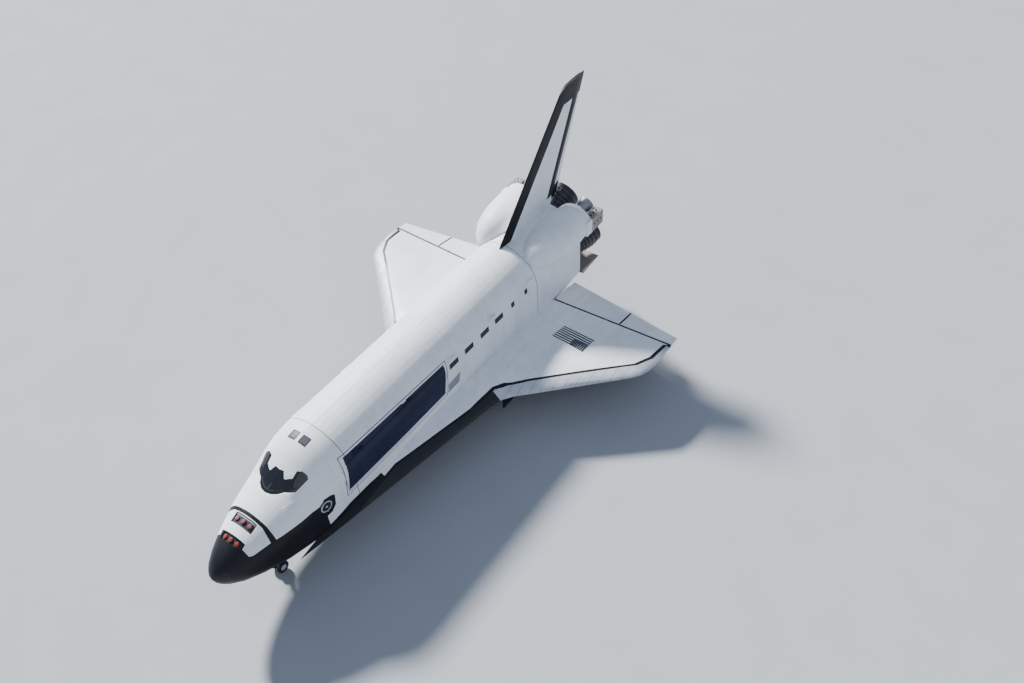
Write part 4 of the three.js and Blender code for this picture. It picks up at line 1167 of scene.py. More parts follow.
def lathe(profile: Sequence[Point], origin: Vector, axis: Vector, sides: int) -> bmesh.types.BMesh:
    """Turns a closed profile about an axis.

    Args:
        profile: Points as (distance along the axis, radius). A radius of zero closes the body.
        origin: Where the distance is zero.
        axis: The axis.
        sides: How many faces go round.

    Returns:
        The turned body as an edited mesh.
    """
    made = bmesh.new()
    way = axis.normalized()
    u = way.orthogonal().normalized()
    v = way.cross(u)
    rings = []
    for along, radius in profile:
        centre = origin + way * along
        points = circle(centre, u, v, radius, sides) if radius else [centre]
        rings.append([made.verts.new(point) for point in points])
    pairs = list(zip(rings, rings[1:]))
    if len(rings[0]) > 1 and len(rings[-1]) > 1:
        pairs.append((rings[-1], rings[0]))
    for a, b in pairs:
        for i in range(sides):
            j = (i + 1) % sides
            corners = [a[i % len(a)], a[j % len(a)], b[j % len(b)], b[i % len(b)]]
            made.faces.new(list(dict.fromkeys(corners)))
    return made


def joined(parts: Iterable[bmesh.types.BMesh]) -> bmesh.types.BMesh:
    """Joins edited meshes into one and frees the others.

    Args:
        parts: The meshes.

    Returns:
        One mesh with all of their faces.
    """
    whole = bmesh.new()
    for part in parts:
        spare = bpy.data.meshes.new("spare")
        part.to_mesh(spare)
        part.free()
        whole.from_mesh(spare)
        bpy.data.meshes.remove(spare)
    return whole


def lay(name: str, parts: Iterable[bmesh.types.BMesh], coat: Coat,
        body: str = "orbiter") -> bpy.types.Object:
    """Joins edited meshes into one piece with one finish.

    Args:
        name: The name of the piece.
        parts: The meshes.
        coat: The finish.
        body: The body that the piece moves with.

    Returns:
        The new object.
    """
    return settle(name, mesh_from(joined(parts), name), body, [coat])


class Pattern:
    """A Geometry Nodes tree with named inputs, run once to give a plain mesh."""

    def __init__(self, name: str, sizes: dict[str, Any]) -> None:
        """Opens the tree and its inputs.

        Args:
            name: The tree's name.
            sizes: Each input's name with its usual value.
        """
        self.tree = bpy.data.node_groups.new(name, "GeometryNodeTree")
        self.graph = Graph(self.tree)
        kinds = {int: "NodeSocketInt", float: "NodeSocketFloat", tuple: "NodeSocketVector"}
        face = self.tree.interface
        face.new_socket("Base", in_out="INPUT", socket_type="NodeSocketGeometry")
        for size, value in sizes.items():
            face.new_socket(size, in_out="INPUT", socket_type=kinds[type(value)]).default_value = value
        face.new_socket("Finish", in_out="INPUT", socket_type="NodeSocketMaterial")
        face.new_socket("Made", in_out="OUTPUT", socket_type="NodeSocketGeometry")
        self.feeds = self.tree.nodes.new("NodeGroupInput").outputs

    def close(self, made: Socket) -> None:
        """Ends the tree with real faces that carry the finish.

        Args:
            made: The geometry that the tree has made.
        """
        real = self.graph.add("GeometryNodeRealizeInstances", {0: made})
        feeds = {"Geometry": real, "Material": self.feeds["Finish"]}
        self.graph.add("NodeGroupOutput", {0: self.graph.add("GeometryNodeSetMaterial", feeds)})

    def run(self, name: str, base: bpy.types.Mesh | None, coat: Coat, **sizes: Any) -> bpy.types.Mesh:
        """Runs the tree on a base mesh.

        Args:
            name: The name of the new mesh.
            base: What the pattern grows on, or None.
            coat: The finish of what it makes.
            **sizes: Inputs that differ from the usual, with _ for each space.

        Returns:
            The result as a plain mesh.
        """
        base = base or bpy.data.meshes.new(f"{name}_base")
        carrier = bpy.data.objects.new(f"{name}_base", base)
        bpy.context.scene.collection.objects.link(carrier)
        modifier = carrier.modifiers.new("pattern", "NODES")
        modifier.node_group = self.tree
        values = {size.replace("_", " "): value for size, value in sizes.items()}
        values["Finish"] = Paintshop.get(coat)
        for item in self.tree.interface.items_tree:
            if item.in_out == "INPUT" and item.name in values:
                modifier[item.identifier] = values[item.name]
        seen = carrier.evaluated_get(bpy.context.evaluated_depsgraph_get())
        mesh = bpy.data.meshes.new_from_object(seen)
        mesh.name = name
        bpy.data.objects.remove(carrier)
        bpy.data.meshes.remove(base)
        return mesh


def path_mesh(paths: Iterable[Sequence[Vector]], closed: bool = False) -> bpy.types.Mesh:
    """Makes a mesh of bare edges along paths, for a pattern to follow.

    Args:
        paths: Each path's points.
        closed: Whether each path joins its start.

    Returns:
        The mesh.
    """
    mesh = bpy.data.meshes.new("path")
    points: list[Vector] = []
    edges: list[tuple[int, int]] = []
    for path in paths:
        start = len(points)
        points += path
        edges += [(start + i, start + i + 1) for i in range(len(path) - 1)]
        if closed:
            edges.append((len(points) - 1, start))
    mesh.from_pydata(points, edges, [])
    return mesh


def rivet_pattern() -> Pattern:
    """Builds the tree that sets low round heads along a path at an even spacing.

    Returns:
        The pattern.
    """
    made = Pattern("rivets along a path", {"Spacing": 0.25, "Head Radius": 0.012})
    add, feeds = made.graph.add, made.feeds
    line = add("GeometryNodeMeshToCurve", {0: feeds["Base"]})
    points = add("GeometryNodeCurveToPoints", {"Curve": line, "Length": feeds["Spacing"]}, mode="LENGTH")
    head = add("GeometryNodeMeshIcoSphere", {"Radius": feeds["Head Radius"], "Subdivisions": 2})
    made.close(add("GeometryNodeInstanceOnPoints", {"Points": points, "Instance": head}))
    return made


def hoop_pattern() -> Pattern:
    """Builds the tree that lays a round bar along each closed path.

    Returns:
        The pattern.
    """
    made = Pattern("hoops along paths", {"Bar Radius": 0.03, "Bar Sides": 8})
    add, feeds = made.graph.add, made.feeds
    line = add("GeometryNodeMeshToCurve", {0: feeds["Base"]})
    round_bar = {"Resolution": feeds["Bar Sides"], "Radius": feeds["Bar Radius"]}
    bar = add("GeometryNodeCurvePrimitiveCircle", round_bar)
    made.close(add("GeometryNodeCurveToMesh", {"Curve": line, "Profile Curve": bar, "Fill Caps": True}))
    return made


def bolt_pattern() -> Pattern:
    """Builds the tree that sets hexagonal bolt heads on a circle round a wheel's axle.

    Returns:
        The pattern.
    """
    made = Pattern("bolts on a circle", {
        "Bolt Count": 12, "Circle Radius": 0.12, "Bolt Radius": 0.012, "Bolt Height": 0.02,
        "Centre": (0.0, 0.0, 0.0),
    })
    add, feeds = made.graph.add, made.feeds
    ring = add("GeometryNodeMeshCircle", {"Vertices": feeds["Bolt Count"], "Radius": feeds["Circle Radius"]})
    hexagon = {"Vertices": 6, "Radius": feeds["Bolt Radius"], "Depth": feeds["Bolt Height"]}
    bolt = add("GeometryNodeMeshCylinder", hexagon)
    placed = add("GeometryNodeInstanceOnPoints", {"Points": ring, "Instance": bolt})
    turned = {"Geometry": placed, "Translation": feeds["Centre"], "Rotation": (math.pi / 2, 0.0, 0.0)}
    made.close(add("GeometryNodeTransform", turned))
    return made


def frame_pattern() -> Pattern:
    """Builds the tree that stands curved frames at an even pitch along the payload bay.

    Returns:
        The pattern.
    """
    made = Pattern("bay frames", {
        "Frame Count": 12, "Frame Pitch": 1.5, "Arc Radius": 2.2, "Arc Start": math.pi, "Arc Sweep": math.pi,
        "Frame Width": 0.07, "Frame Depth": 0.06, "Start": (0.0, 0.0, 0.0),
    })
    add, feeds = made.graph.add, made.feeds
    arc = add("GeometryNodeCurveArc", {
        "Resolution": 40, "Radius": feeds["Arc Radius"], "Start Angle": feeds["Arc Start"],
        "Sweep Angle": feeds["Arc Sweep"],
    })
    section = {"Width": feeds["Frame Depth"], "Height": feeds["Frame Width"]}
    bar = add("GeometryNodeCurvePrimitiveQuadrilateral", section)
    rib = add("GeometryNodeCurveToMesh", {"Curve": arc, "Profile Curve": bar, "Fill Caps": True})
    stood = add("GeometryNodeTransform", {"Geometry": rib, "Rotation": (math.pi / 2, 0.0, math.pi / 2)})
    row = {
        "Count": feeds["Frame Count"], "Start Location": feeds["Start"],
        "Offset": add("ShaderNodeCombineXYZ", {0: feeds["Frame Pitch"]}),
    }
    line = add("GeometryNodeMeshLine", row)
    made.close(add("GeometryNodeInstanceOnPoints", {"Points": line, "Instance": stood}))
    return made


def slat_pattern() -> Pattern:
    """Builds the tree that stacks tilted slats in an opening on the port side.

    Returns:
        The pattern.
    """
    made = Pattern("vent slats", {
        "Slat Count": 5, "Slat Length": 0.7, "Slat Depth": 0.05, "Slat Pitch": 0.06,
        "Centre": (0.0, 0.0, 0.0), "Turn": (0.0, 0.0, 0.0),
    })
    add, maths, feeds = made.graph.add, made.graph.maths, made.feeds
    size = add("ShaderNodeCombineXYZ", {0: feeds["Slat Length"], 1: feeds["Slat Depth"], 2: 0.006})
    slat = add("GeometryNodeMeshCube", {"Size": size})
    tilted = add("GeometryNodeTransform", {"Geometry": slat, "Rotation": (math.radians(-55), 0.0, 0.0)})
    drop = maths("MULTIPLY", maths("ADD", feeds["Slat Count"], -1.0), feeds["Slat Pitch"])
    row = {
        "Count": feeds["Slat Count"],
        "Start Location": add("ShaderNodeCombineXYZ", {2: maths("MULTIPLY", drop, -0.5)}),
        "Offset": add("ShaderNodeCombineXYZ", {2: feeds["Slat Pitch"]}),
    }
    line = add("GeometryNodeMeshLine", row)
    stack = add("GeometryNodeInstanceOnPoints", {"Points": line, "Instance": tilted})
    turned = {"Geometry": stack, "Translation": feeds["Centre"], "Rotation": feeds["Turn"]}
    made.close(add("GeometryNodeTransform", turned))
    return made


@dataclass
class ForwardFuselage:
    """Nose, crew cabin, windows, thruster panels and side hatch."""

    strip_width: float = 0.055
    strip_lift: float = 0.012
    # Posts between the panes as (station, y) pairs: the middle one, and the port ones, which are mirrored
    middle_post: tuple[Point, Point] = ((4.90, 0.0), (5.96, 0.0))
    posts: tuple[tuple[Point, Point], ...] = (
        ((5.21, 0.78), (5.78, 0.56)),
        ((5.62, 1.20), (6.14, 1.04)),
    )
    post_steps: int = 10
    # The foot rim's width as a share of a post's
    foot_share: float = 0.6
    # Rim inside the foot of the panes on the port side, as (station, y) points
    foot: tuple[Point, ...] = (
        (4.90, 0.0), (4.93, 0.22), (5.06, 0.48), (5.24, 0.74), (5.50, 1.08), (5.83, 1.42),
    )
    # Corners of the port overhead window, as (station, y) points, and a height near it
    overhead: tuple[Point, ...] = ((7.54, 0.14), (7.54, 0.69), (8.07, 0.69), (8.07, 0.14))
    overhead_height: float = 8.2
    rim_width: float = 0.04
    rim_lift: float = 0.01
    # The hatch's middle, a y near its face and the light ring on it
    hatch_station: float = 6.5
    hatch_side: float = 2.56
    hatch_height: float = 5.055
    ring_inner: float = 0.30
    ring_outer: float = 0.40
    ring_points: int = 40
    # How far the rivets lie outside the ring, their spacing and the radius of a head
    rivets_out: float = 0.04
    rivet_spacing: float = 0.14
    rivet_radius: float = 0.012
    # Discs on the hatch, with their radius, how far they stand proud and their finish; the small pale disc in
    # the pane's middle is a painted highlight that stands in for a reflection
    discs: tuple[tuple[str, float, float, Coat], ...] = (
        ("hatch_pane", 0.24, 0.008, Coat.GLASS),
        # The small pale disc below is a painted highlight on the dark pane
        ("hatch_painted_highlight", 0.08, 0.02, Coat.TRIM_AND_HIGHLIGHT),
    )
    # Thruster covers, and the place of the outer ones as a share of the panel's half width
    cover_radius: float = 0.13
    cover_share: float = 0.62
    # Thruster panels with the front and back of their openings, half width and covers
    panels: tuple[tuple[str, float, float, float, Coat], ...] = (
        ("thruster_panel_front", 1.690, 2.055, 0.74, Coat.RED),
        ("thruster_panel_rear", 2.640, 3.200, 0.80, Coat.PINK),
    )
    # The pale strip along the back of the rear panel
    edge_station: float = 3.13
    edge_sides: tuple[float, ...] = (-0.7, -0.35, 0.0, 0.35, 0.7)

    def build(self, rivets: Pattern) -> None:
        """Builds and dresses the sub-assembly.

        Args:
            rivets: The tree that sets rivet heads along a path.
        """
        dress("nose_cap", Coat.BLACK)
        for node in ("thruster_module", "nose_section", "cabin_lower", "cabin_upper"):
            dress(node, Coat.SKIN)
        dress("windshield", Coat.WINDSHIELD)
        for side in TURNS:
            dress(f"overhead_window_{side}", Coat.GREY_GLASS)
        self.panes()
        self.overhead_rims()
        self.hatch(rivets)
        for name, front, back, half, cover in self.panels:
            dress(name, Coat.PANEL)
            self.covers(name, (front + back) / 2, half, cover)
        self.panel_strip()

    def panes(self) -> None:
        """Lays the posts between the windshield panes and the rim at their foot."""
        glass = Surface("windshield", "cabin_upper")
        lines = [self.middle_post]
        for turn in TURNS.values():
            lines += [tuple((s, turn * y) for s, y in post) for post in self.posts]
        strips = []
        for (low, low_side), (high, high_side) in lines:
            shares = [i / self.post_steps for i in range(self.post_steps + 1)]
            path = [
                glass.below(low + (high - low) * t, low_side + (high_side - low_side) * t) for t in shares
            ]
            strips.append(ribbon(glass, path, self.strip_width, self.strip_lift))
        starboard = [(s, -y) for s, y in reversed(self.foot[1:])]
        foot = [glass.below(*point) for point in [*starboard, *self.foot]]
        strips.append(ribbon(glass, foot, self.strip_width * self.foot_share, self.strip_lift))
        lay("windshield_posts", strips, Coat.POST)

    def overhead_rims(self) -> None:
        """Lays a thin rim round each overhead window."""
        skin = Surface("cabin_upper", "overhead_window_left", "overhead_window_right")
        rims = []
        for turn in TURNS.values():
            corners = [at(s, turn * y, self.overhead_height) for s, y in self.overhead]
            rims.append(ribbon(skin, corners, self.rim_width, self.rim_lift, closed=True))
        lay("overhead_rims", rims, Coat.POST)

    def hatch_circle(self, side: float, radius: float, count: int) -> list[Vector]:
        """Returns points round the hatch's middle, in the plane of a y."""
        middle = at(self.hatch_station, side, self.hatch_height)
        return circle(middle, Vector((1, 0, 0)), Vector((0, 0, 1)), radius, count)

    def hatch(self, rivets: Pattern) -> None:
        """Dresses the side hatch with its light ring, pane, rivets and a small pale disc of painted highlight
        on the pane.

        Args:
            rivets: The tree that sets rivet heads along a path.
        """
        dress("crew_hatch", Coat.BLACK)
        skin = Surface("crew_hatch")
        middle = (self.ring_inner + self.ring_outer) / 2
        ring = self.hatch_circle(self.hatch_side, middle, self.ring_points)
        band = ribbon(skin, ring, self.ring_outer - self.ring_inner, self.strip_lift, closed=True)
        lay("hatch_ring", [band], Coat.TRIM_AND_HIGHLIGHT, "crew_hatch")
        around = self.hatch_circle(self.hatch_side, self.ring_outer + self.rivets_out, self.ring_points)
        path = path_mesh([[skin.near(point)[0] for point in around]], closed=True)
        sizes = {"Spacing": self.rivet_spacing, "Head_Radius": self.rivet_radius}
        heads = rivets.run("hatch_rivets", path, Coat.FRAME, **sizes)
        settle("hatch_rivets", heads, "crew_hatch")
        for name, radius, lift, coat in self.discs:
            outline = self.hatch_circle(OUTBOARD, radius, self.ring_points // 2)
            disc = sheet(skin, outline, Vector((0, -1, 0)), lift, 0.1)
            lay(name, [disc], coat, "crew_hatch")

    def panel_strip(self) -> None:
        """Lays the pale strip along the back of the rear thruster panel."""
        panel = Surface("thruster_panel_rear")
        path = [panel.below(self.edge_station, y) for y in self.edge_sides]
        lay("thruster_panel_strip", [ribbon(panel, path, 0.05, 0.01)], Coat.TRIM_AND_HIGHLIGHT)

    def covers(self, node: str, station: float, half: float, coat: Coat) -> None:
        """Lays three domed covers over the thruster openings of a panel.

        Args:
            node: The panel's node.
            station: The middle of the row.
            half: The panel's half width.
            coat: The covers' finish.
        """
        panel = Surface(node)
        radius = self.cover_radius
        dome = [(-0.01, 0.0), (-0.01, radius * 0.98), (0.012, radius), (0.030, radius * 0.86),
                (0.040, radius * 0.5), (0.034, 0.0)]
        discs = []
        for column in (-1, 0, 1):
            place, normal = panel.along(at(station, column * half * self.cover_share, ABOVE), DOWN)
            discs.append(lathe(dome, place, normal, 28))
        lay(f"{node}_covers", discs, coat)


@dataclass
class MiddleFuselage:
    """Payload bay, doors, sign and vents."""

    # Vents as (station, length), with their common height and how far their tops lie aft of their feet
    vents: tuple[Point, ...] = (
        (18.17, 0.86), (19.71, 0.86), (21.35, 0.86), (22.9, 0.86), (24.45, 0.34), (25.95, 0.30),
    )
    vent_height: float = 6.22
    vent_tall: float = 0.34
    vent_lean: float = 0.06
    vent_lift: float = 0.008
    # Slats in a vent, with their share of its length, their depth and how far they stand proud
    slats: int = 5
    slat_share: float = 0.86
    slat_depth: float = 0.022
    slat_lift: float = 0.012
    # Corners of the access plate, as (station, height), and how far it stands proud
    plate: tuple[Point, ...] = ((17.25, 4.42), (17.45, 5.02), (18.58, 5.16), (18.4, 4.42))
    plate_lift: float = 0.006
    # Size of the faces of a laid plate
    cell: float = 0.3
    # Frames of the payload bay, from the aft one forward
    frames: int = 13
    frame_pitch: float = 1.42
    frame_radius: float = 2.225
    frame_width: float = 0.09
    frame_depth: float = 0.045
    last_frame: float = 26.6
    # Ends of the strips on the sign board as (station, height), a y near it, and the rivets on them
    strips: tuple[tuple[Point, Point], ...] = (
        ((8.16, 6.5), (8.16, 4.64)),
        ((8.2, 4.63), (17.3, 4.63)),
        ((17.32, 4.66), (17.32, 6.5)),
    )
    strip_side: float = 2.9
    strip_width: float = 0.05
    strip_lift: float = 0.01
    rivet_spacing: float = 0.3
    rivet_radius: float = 0.011

    def build(self, rivets: Pattern, frames: Pattern, slats: Pattern) -> None:
        """Builds and dresses the sub-assembly.

        Args:
            rivets: The tree that sets rivet heads along a path.
            frames: The tree that stands frames along the bay.
            slats: The tree that stacks slats in a vent.
        """
        dress("middle_fuselage", Coat.SKIN)
        dress("sign_board", Coat.SKIN)
        for side in TURNS:
            dress(f"sill_longeron_{side}", Coat.SKIN)
            dress(f"payload_door_{side}", Coat.SKIN)
        self.vent_row(slats)
        self.grey_plate()
        self.bay_frames(frames)
        self.sign_frame(rivets)

    def vent_row(self, slats: Pattern) -> None:
        """Lays the vents along the port and starboard sides as near-black plates of painted shade, and fills
        them with slats.

        Args:
            slats: The tree that stacks slats in a vent.
        """
        skin = Surface("middle_fuselage")
        low, high = self.vent_height - self.vent_tall / 2, self.vent_height + self.vent_tall / 2
        for side, turn in TURNS.items():
            inward = Vector((0, -turn, 0))
            shade_plates = []
            for i, (station, length) in enumerate(self.vents):
                front, back, lean = station - length / 2, station + length / 2, self.vent_lean
                corners = [(front, low), (front + lean, high), (back + lean, high), (back, low)]
                outline = [at(s, turn * OUTBOARD, z) for s, z in corners]
                # Each vent's near-black plate is painted shade in place of the opening's hollow
                shade_plates.append(sheet(skin, outline, inward, self.vent_lift, self.cell))
                place, normal = skin.along(at(station, turn * OUTBOARD, self.vent_height), inward)
                tilt = math.atan2(normal.z, turn * normal.y)
                name = f"vent_slats_{side}_{i}"
                mesh = slats.run(
                    name, None, Coat.FRAME, Slat_Count=self.slats, Slat_Length=length * self.slat_share,
                    Slat_Depth=self.slat_depth, Slat_Pitch=self.vent_tall / (self.slats + 1),
                    Centre=tuple(place + normal * self.slat_lift),
                    Turn=(turn * tilt, 0.0, 0.0 if turn > 0 else math.pi),
                )
                settle(name, mesh, "orbiter")
            lay(f"vents_{side}", shade_plates, Coat.VENT_SHADE)

    def grey_plate(self) -> None:
        """Lays the grey access plate behind the sign."""
        outline = [at(s, OUTBOARD, z) for s, z in self.plate]
        skin = Surface("middle_fuselage")
        made = sheet(skin, outline, Vector((0, -1, 0)), self.plate_lift, self.cell)
        lay("access_plate", [made], Coat.PLATE)

    def bay_frames(self, frames: Pattern) -> None:
        """Stands the frames of the payload bay.

        Args:
            frames: The tree that stands them.
        """
        mesh = frames.run(
            "bay_frames", None, Coat.RIB, Frame_Count=self.frames, Frame_Pitch=self.frame_pitch,
            Arc_Radius=self.frame_radius, Frame_Width=self.frame_width, Frame_Depth=self.frame_depth,
            Start=(aft(self.last_frame), 0.0, BAY_CENTRE),
        )
        settle("bay_frames", mesh, "orbiter")

    def sign_frame(self, rivets: Pattern) -> None:
        """Lays pale strips along the sign's ends and foot, with rivets on them.

        Args:
            rivets: The tree that sets rivet heads along a path.
        """
        board = Surface("sign_board")
        proud = Vector((0, self.strip_lift, 0))
        strips = []
        lines = []
        for ends in self.strips:
            path = [at(s, self.strip_side, z) for s, z in ends]
            strips.append(ribbon(board, path, self.strip_width, self.strip_lift, step=self.rivet_spacing))
            lines.append([board.near(point)[0] + proud for point in resampled(path, self.rivet_spacing)])
        lay("sign_strips", strips, Coat.TRIM_AND_HIGHLIGHT)
        sizes = {"Spacing": self.rivet_spacing, "Head_Radius": self.rivet_radius}
        heads = rivets.run("sign_rivets", path_mesh(lines), Coat.FRAME, **sizes)
        settle("sign_rivets", heads, "orbiter")


@dataclass
class Wings:
    """Wings, their leading-edge panels, elevons and the doors of the main gear."""

    def build(self) -> None:
        """Dresses the sub-assembly."""
        for side in TURNS:
            dress(f"wing_{side}", Coat.WING)
            dress(f"wing_leading_edge_{side}", Coat.EDGE)
            dress(f"elevon_inboard_{side}", Coat.WING)
            dress(f"elevon_outboard_{side}", Coat.WING)
            dress(f"main_gear_door_{side}", Coat.BLACK)


@dataclass
class Nozzle:
    """A rolled nozzle with a neck, a lip, stiffening hoops and feed lines.

    The profile is (distance from the mount, radius), and each hoop is a distance from the mount.
    """

    node: str
    mount: Place
    pitch: float
    turn: float
    profile: tuple[Point, ...]
    hoops: tuple[float, ...]
    bar: float = 0.032
    wall: float = 0.06
    # Feed lines: how many, how far they start before the first hoop and end beyond the last one, the
    # step between their points, and their gap and radius in radii of a hoop's bar
    lines: int = 3
    line_before: float = 0.25
    line_beyond: float = 0.15
    line_step: float = 0.12
    line_gap: float = 2.4
    line_radius: float = 0.75
    sides: int = 64
    hoop_sides: int = 56

    def way(self) -> Vector:
        """Returns the way in which the nozzle points."""
        down, side = math.radians(self.pitch), math.radians(self.turn)
        return Vector((-math.cos(down) * math.cos(side), math.cos(down) * math.sin(side), math.sin(down)))

    def radius(self, along: float) -> float:
        """Reads the outer radius off the profile.

        Args:
            along: The distance from the mount.

        Returns:
            The radius there.
        """
        for (a, ra), (b, rb) in zip(self.profile, self.profile[1:]):
            if a <= along <= b:
                return ra + (rb - ra) * (along - a) / (b - a)
        return self.profile[-1][1]

    def build(self, hoops: Pattern) -> None:
        """Turns the nozzle in the place of its node and lays its hoops and lines.

        Args:
            hoops: The tree that lays a bar along closed paths.
        """
        origin, way = at(*self.mount), self.way()
        inner = [(a, r - self.wall) for a, r in reversed(self.profile[1:])]
        section = [(self.profile[0][0], 0.0), *self.profile, *inner, (self.profile[1][0], 0.0)]
        mesh = mesh_from(lathe(section, origin, way, self.sides), self.node)
        for face in mesh.polygons[(len(self.profile) + 1) * self.sides :]:
            face.material_index = 1
        coats = [Coat.ENGINE, Coat.INSIDE]
        piece = settle(f"{self.node}_bell", mesh, "orbiter", coats)
        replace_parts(piece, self.node)
        u = way.orthogonal().normalized()
        v = way.cross(u)
        paths = []
        for along in self.hoops:
            reach = self.radius(along) + self.bar * 0.5
            paths.append(circle(origin + way * along, u, v, reach, self.hoop_sides))
        rings = path_mesh(paths, closed=True)
        made = hoops.run(f"{self.node}_hoops", rings, Coat.HOOP, Bar_Radius=self.bar)
        made.shade_smooth()
        settle(f"{self.node}_hoops", made, "orbiter")
        self.feed_lines(origin, way, u, v)

    def feed_lines(self, origin: Vector, way: Vector, u: Vector, v: Vector) -> None:
        """Runs cooling lines down the bell from its neck to its lip.

        Args:
            origin: The nozzle's mount.
            way: The way in which the nozzle points.
            u: A direction square to way.
            v: The direction square to both.
        """
        start, lip = self.hoops[0] - self.line_before, self.hoops[-1] + self.line_beyond
        stops = [start + self.line_step * i for i in range(math.ceil((lip - start) / self.line_step))]
        lines = []
        for k in range(self.lines):
            turn = 2 * math.pi * (k + 0.25) / self.lines
            out = u * math.cos(turn) + v * math.sin(turn)
            gap = self.bar * self.line_gap
            path = [origin + way * a + out * (self.radius(a) + gap) for a in stops]
            ends = [path[0] - out * self.bar * 4, *path, path[-1] - out * self.bar * 4]
            lines.append(tube(ends, self.bar * self.line_radius, 8))
        lay(f"{self.node}_lines", lines, Coat.HOOP)


@dataclass
class AftFuselage:
    """Aft fuselage, pods, nozzles and body flap."""

    main_profile: tuple[Point, ...] = (
        (1.55, 0.42), (1.75, 0.58), (2.0, 0.69), (2.3, 0.80), (2.6, 0.90), (2.95, 0.99), (3.3, 1.07),
        (3.65, 1.137), (4.0, 1.195),
    )
    main_hoops: tuple[float, ...] = (2.35, 2.65, 2.95, 3.25, 3.6)
    # Main nozzles with their mount, and how far they point up and to the side in degrees
    mounts: tuple[tuple[str, Place, float, float], ...] = (
        ("main_nozzle_upper", (30.709, 0.0, 6.807), 16.0, 0.0),
        ("main_nozzle_left", (31.293, 1.346, 4.267), 10.0, 3.5),
        ("main_nozzle_right", (31.293, -1.346, 4.267), 10.0, -3.5),
    )
    # Rows of thruster openings on a pod's housing, and the section of an opening's rim and of the flat disc
    # in its mouth, painted shade that stands in for the opening's hollow
    port_stations: tuple[float, ...] = (32.85, 33.22, 33.59)
    port_side: float = 3.315
    port_height: float = 7.8
    port_rises: tuple[float, ...] = (-0.25, 0.25)
    port_faces: int = 24
    # A height below the housing and a station behind it
    under: float = 6.0
    behind: float = 35.0
    port_rim: tuple[Point, ...] = (
        (-0.004, 0.085), (-0.004, 0.115), (0.008, 0.115), (0.014, 0.1), (0.008, 0.085),
    )
    port_shade_disc: tuple[Point, ...] = ((-0.004, 0.0), (-0.004, 0.086), (0.004, 0.086), (0.002, 0.0))

    def build(self, hoops: Pattern) -> None:
        """Builds and dresses the sub-assembly.

        Args:
            hoops: The tree that lays a bar along closed paths.
        """
        dress("aft_fuselage", Coat.SKIN)
        # The body flap's brown-grey is painted shade on a white flap
        dress("body_flap", Coat.SHADED_FLAP)
        for mount in self.mounts:
            Nozzle(*mount, self.main_profile, self.main_hoops).build(hoops)
        for side in TURNS:
            dress(f"engine_pod_{side}", Coat.POD)
            dress(f"pod_nozzle_{side}", Coat.BARE)
        for side, turn in TURNS.items():
            self.thruster_ports(side, turn)

    def thruster_ports(self, side: str, turn: int) -> None:
        """Sets rimmed thruster openings on the faces of a pod's bare housing, each closed by a flat disc of
        painted shade.

        Args:
            side: Which pod.
            turn: One for port, minus one for starboard.
        """
        housing = Surface(f"engine_pod_{side}")
        middle = turn * self.port_side
        looks = []
        for station in self.port_stations:
            looks.append((at(station, middle, ABOVE), DOWN))
            looks.append((at(station, middle, self.under), -DOWN))
            looks.append((at(station, turn * OUTBOARD, self.port_height), Vector((0, -turn, 0))))
        for rise in self.port_rises:
            looks.append((at(self.behind, middle, self.port_height + rise), Vector((1, 0, 0))))
        met = [housing.along(start, way) for start, way in looks]
        # Each opening's mouth is a flat near-black disc: painted shade in place of its hollow
        for part, section, coat in (
            ("rims", self.port_rim, Coat.BARE),
            ("shade_discs", self.port_shade_disc, Coat.INSIDE),
        ):
            made = [lathe(section, place, normal, self.port_faces) for place, normal in met]
            lay(f"thruster_{part}_{side}", made, coat)


@dataclass
class Tail:
    """Fin, rudder panels and their post."""

    def build(self) -> None:
        """Dresses the sub-assembly."""
        dress("vertical_fin", Coat.FIN)
        dress("rudder_post", Coat.CHROME)
        for side in TURNS:
            dress(f"rudder_panel_{side}", Coat.FIN)


@dataclass(frozen=True)
class Gear:
    """Where a leg stands, its pair of wheels, and its strut.

    The tyre and the rim are radii, and the spacing goes from the leg to a wheel's middle. The collar is
    the height of the strut's collar, and the top the height at which the brake lines start.
    """

    station: float
    side: float
    tyre: float
    width: float
    rim: float
    spacing: float
    strut: float
    collar: float
    top: float


@dataclass
class Wheel:
    """An aircraft tyre on its rim, with grooves round the crown."""

    node: str
    gear: Gear
    side: float
    # Middles of the grooves, as shares of the width
    grooves: tuple[float, ...] = (-0.2, -0.07, 0.07, 0.2)
    shoulder: float = 0.93

    def profile(self) -> list[Point]:
        """Draws the tyre's section.

        Returns:
            Its points as (across, radius).
        """
        tyre, rim, half = self.gear.tyre, self.gear.rim, self.gear.width / 2
        shoulder = tyre * self.shoulder
        wall = [
            (0.76, rim), (0.93, rim + (shoulder - rim) * 0.25), (1.0, (rim + shoulder) / 2),
            (0.985, rim + (shoulder - rim) * 0.78), (0.92, shoulder), (0.78, tyre * 0.966),
            (0.6, tyre * 0.985),
        ]
        made = [(-half * share, radius) for share, radius in wall]
        depth, lip = tyre * 0.014, self.gear.width * 0.012
        for groove in self.grooves:
            middle = groove * self.gear.width
            crown = tyre * (1 - 0.015 * (groove / 0.3) ** 2)
            made += [(middle - lip, crown), (middle - lip * 0.5, crown - depth),
                     (middle + lip * 0.5, crown - depth), (middle + lip, crown)]
            if groove == self.grooves[1]:
                made.append((0.0, tyre))
        return made + [(half * share, radius) for share, radius in reversed(wall)]

    def build(self) -> None:
        """Turns the tyre in the place of its node."""
        hub = at(self.gear.station, self.side, self.gear.tyre)
        body = lathe(self.profile(), hub, Vector((0, 1, 0)), 72)
        piece = lay(f"{self.node}_tread", [body], Coat.RUBBER, body_of_node(self.node))
        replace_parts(piece, self.node)


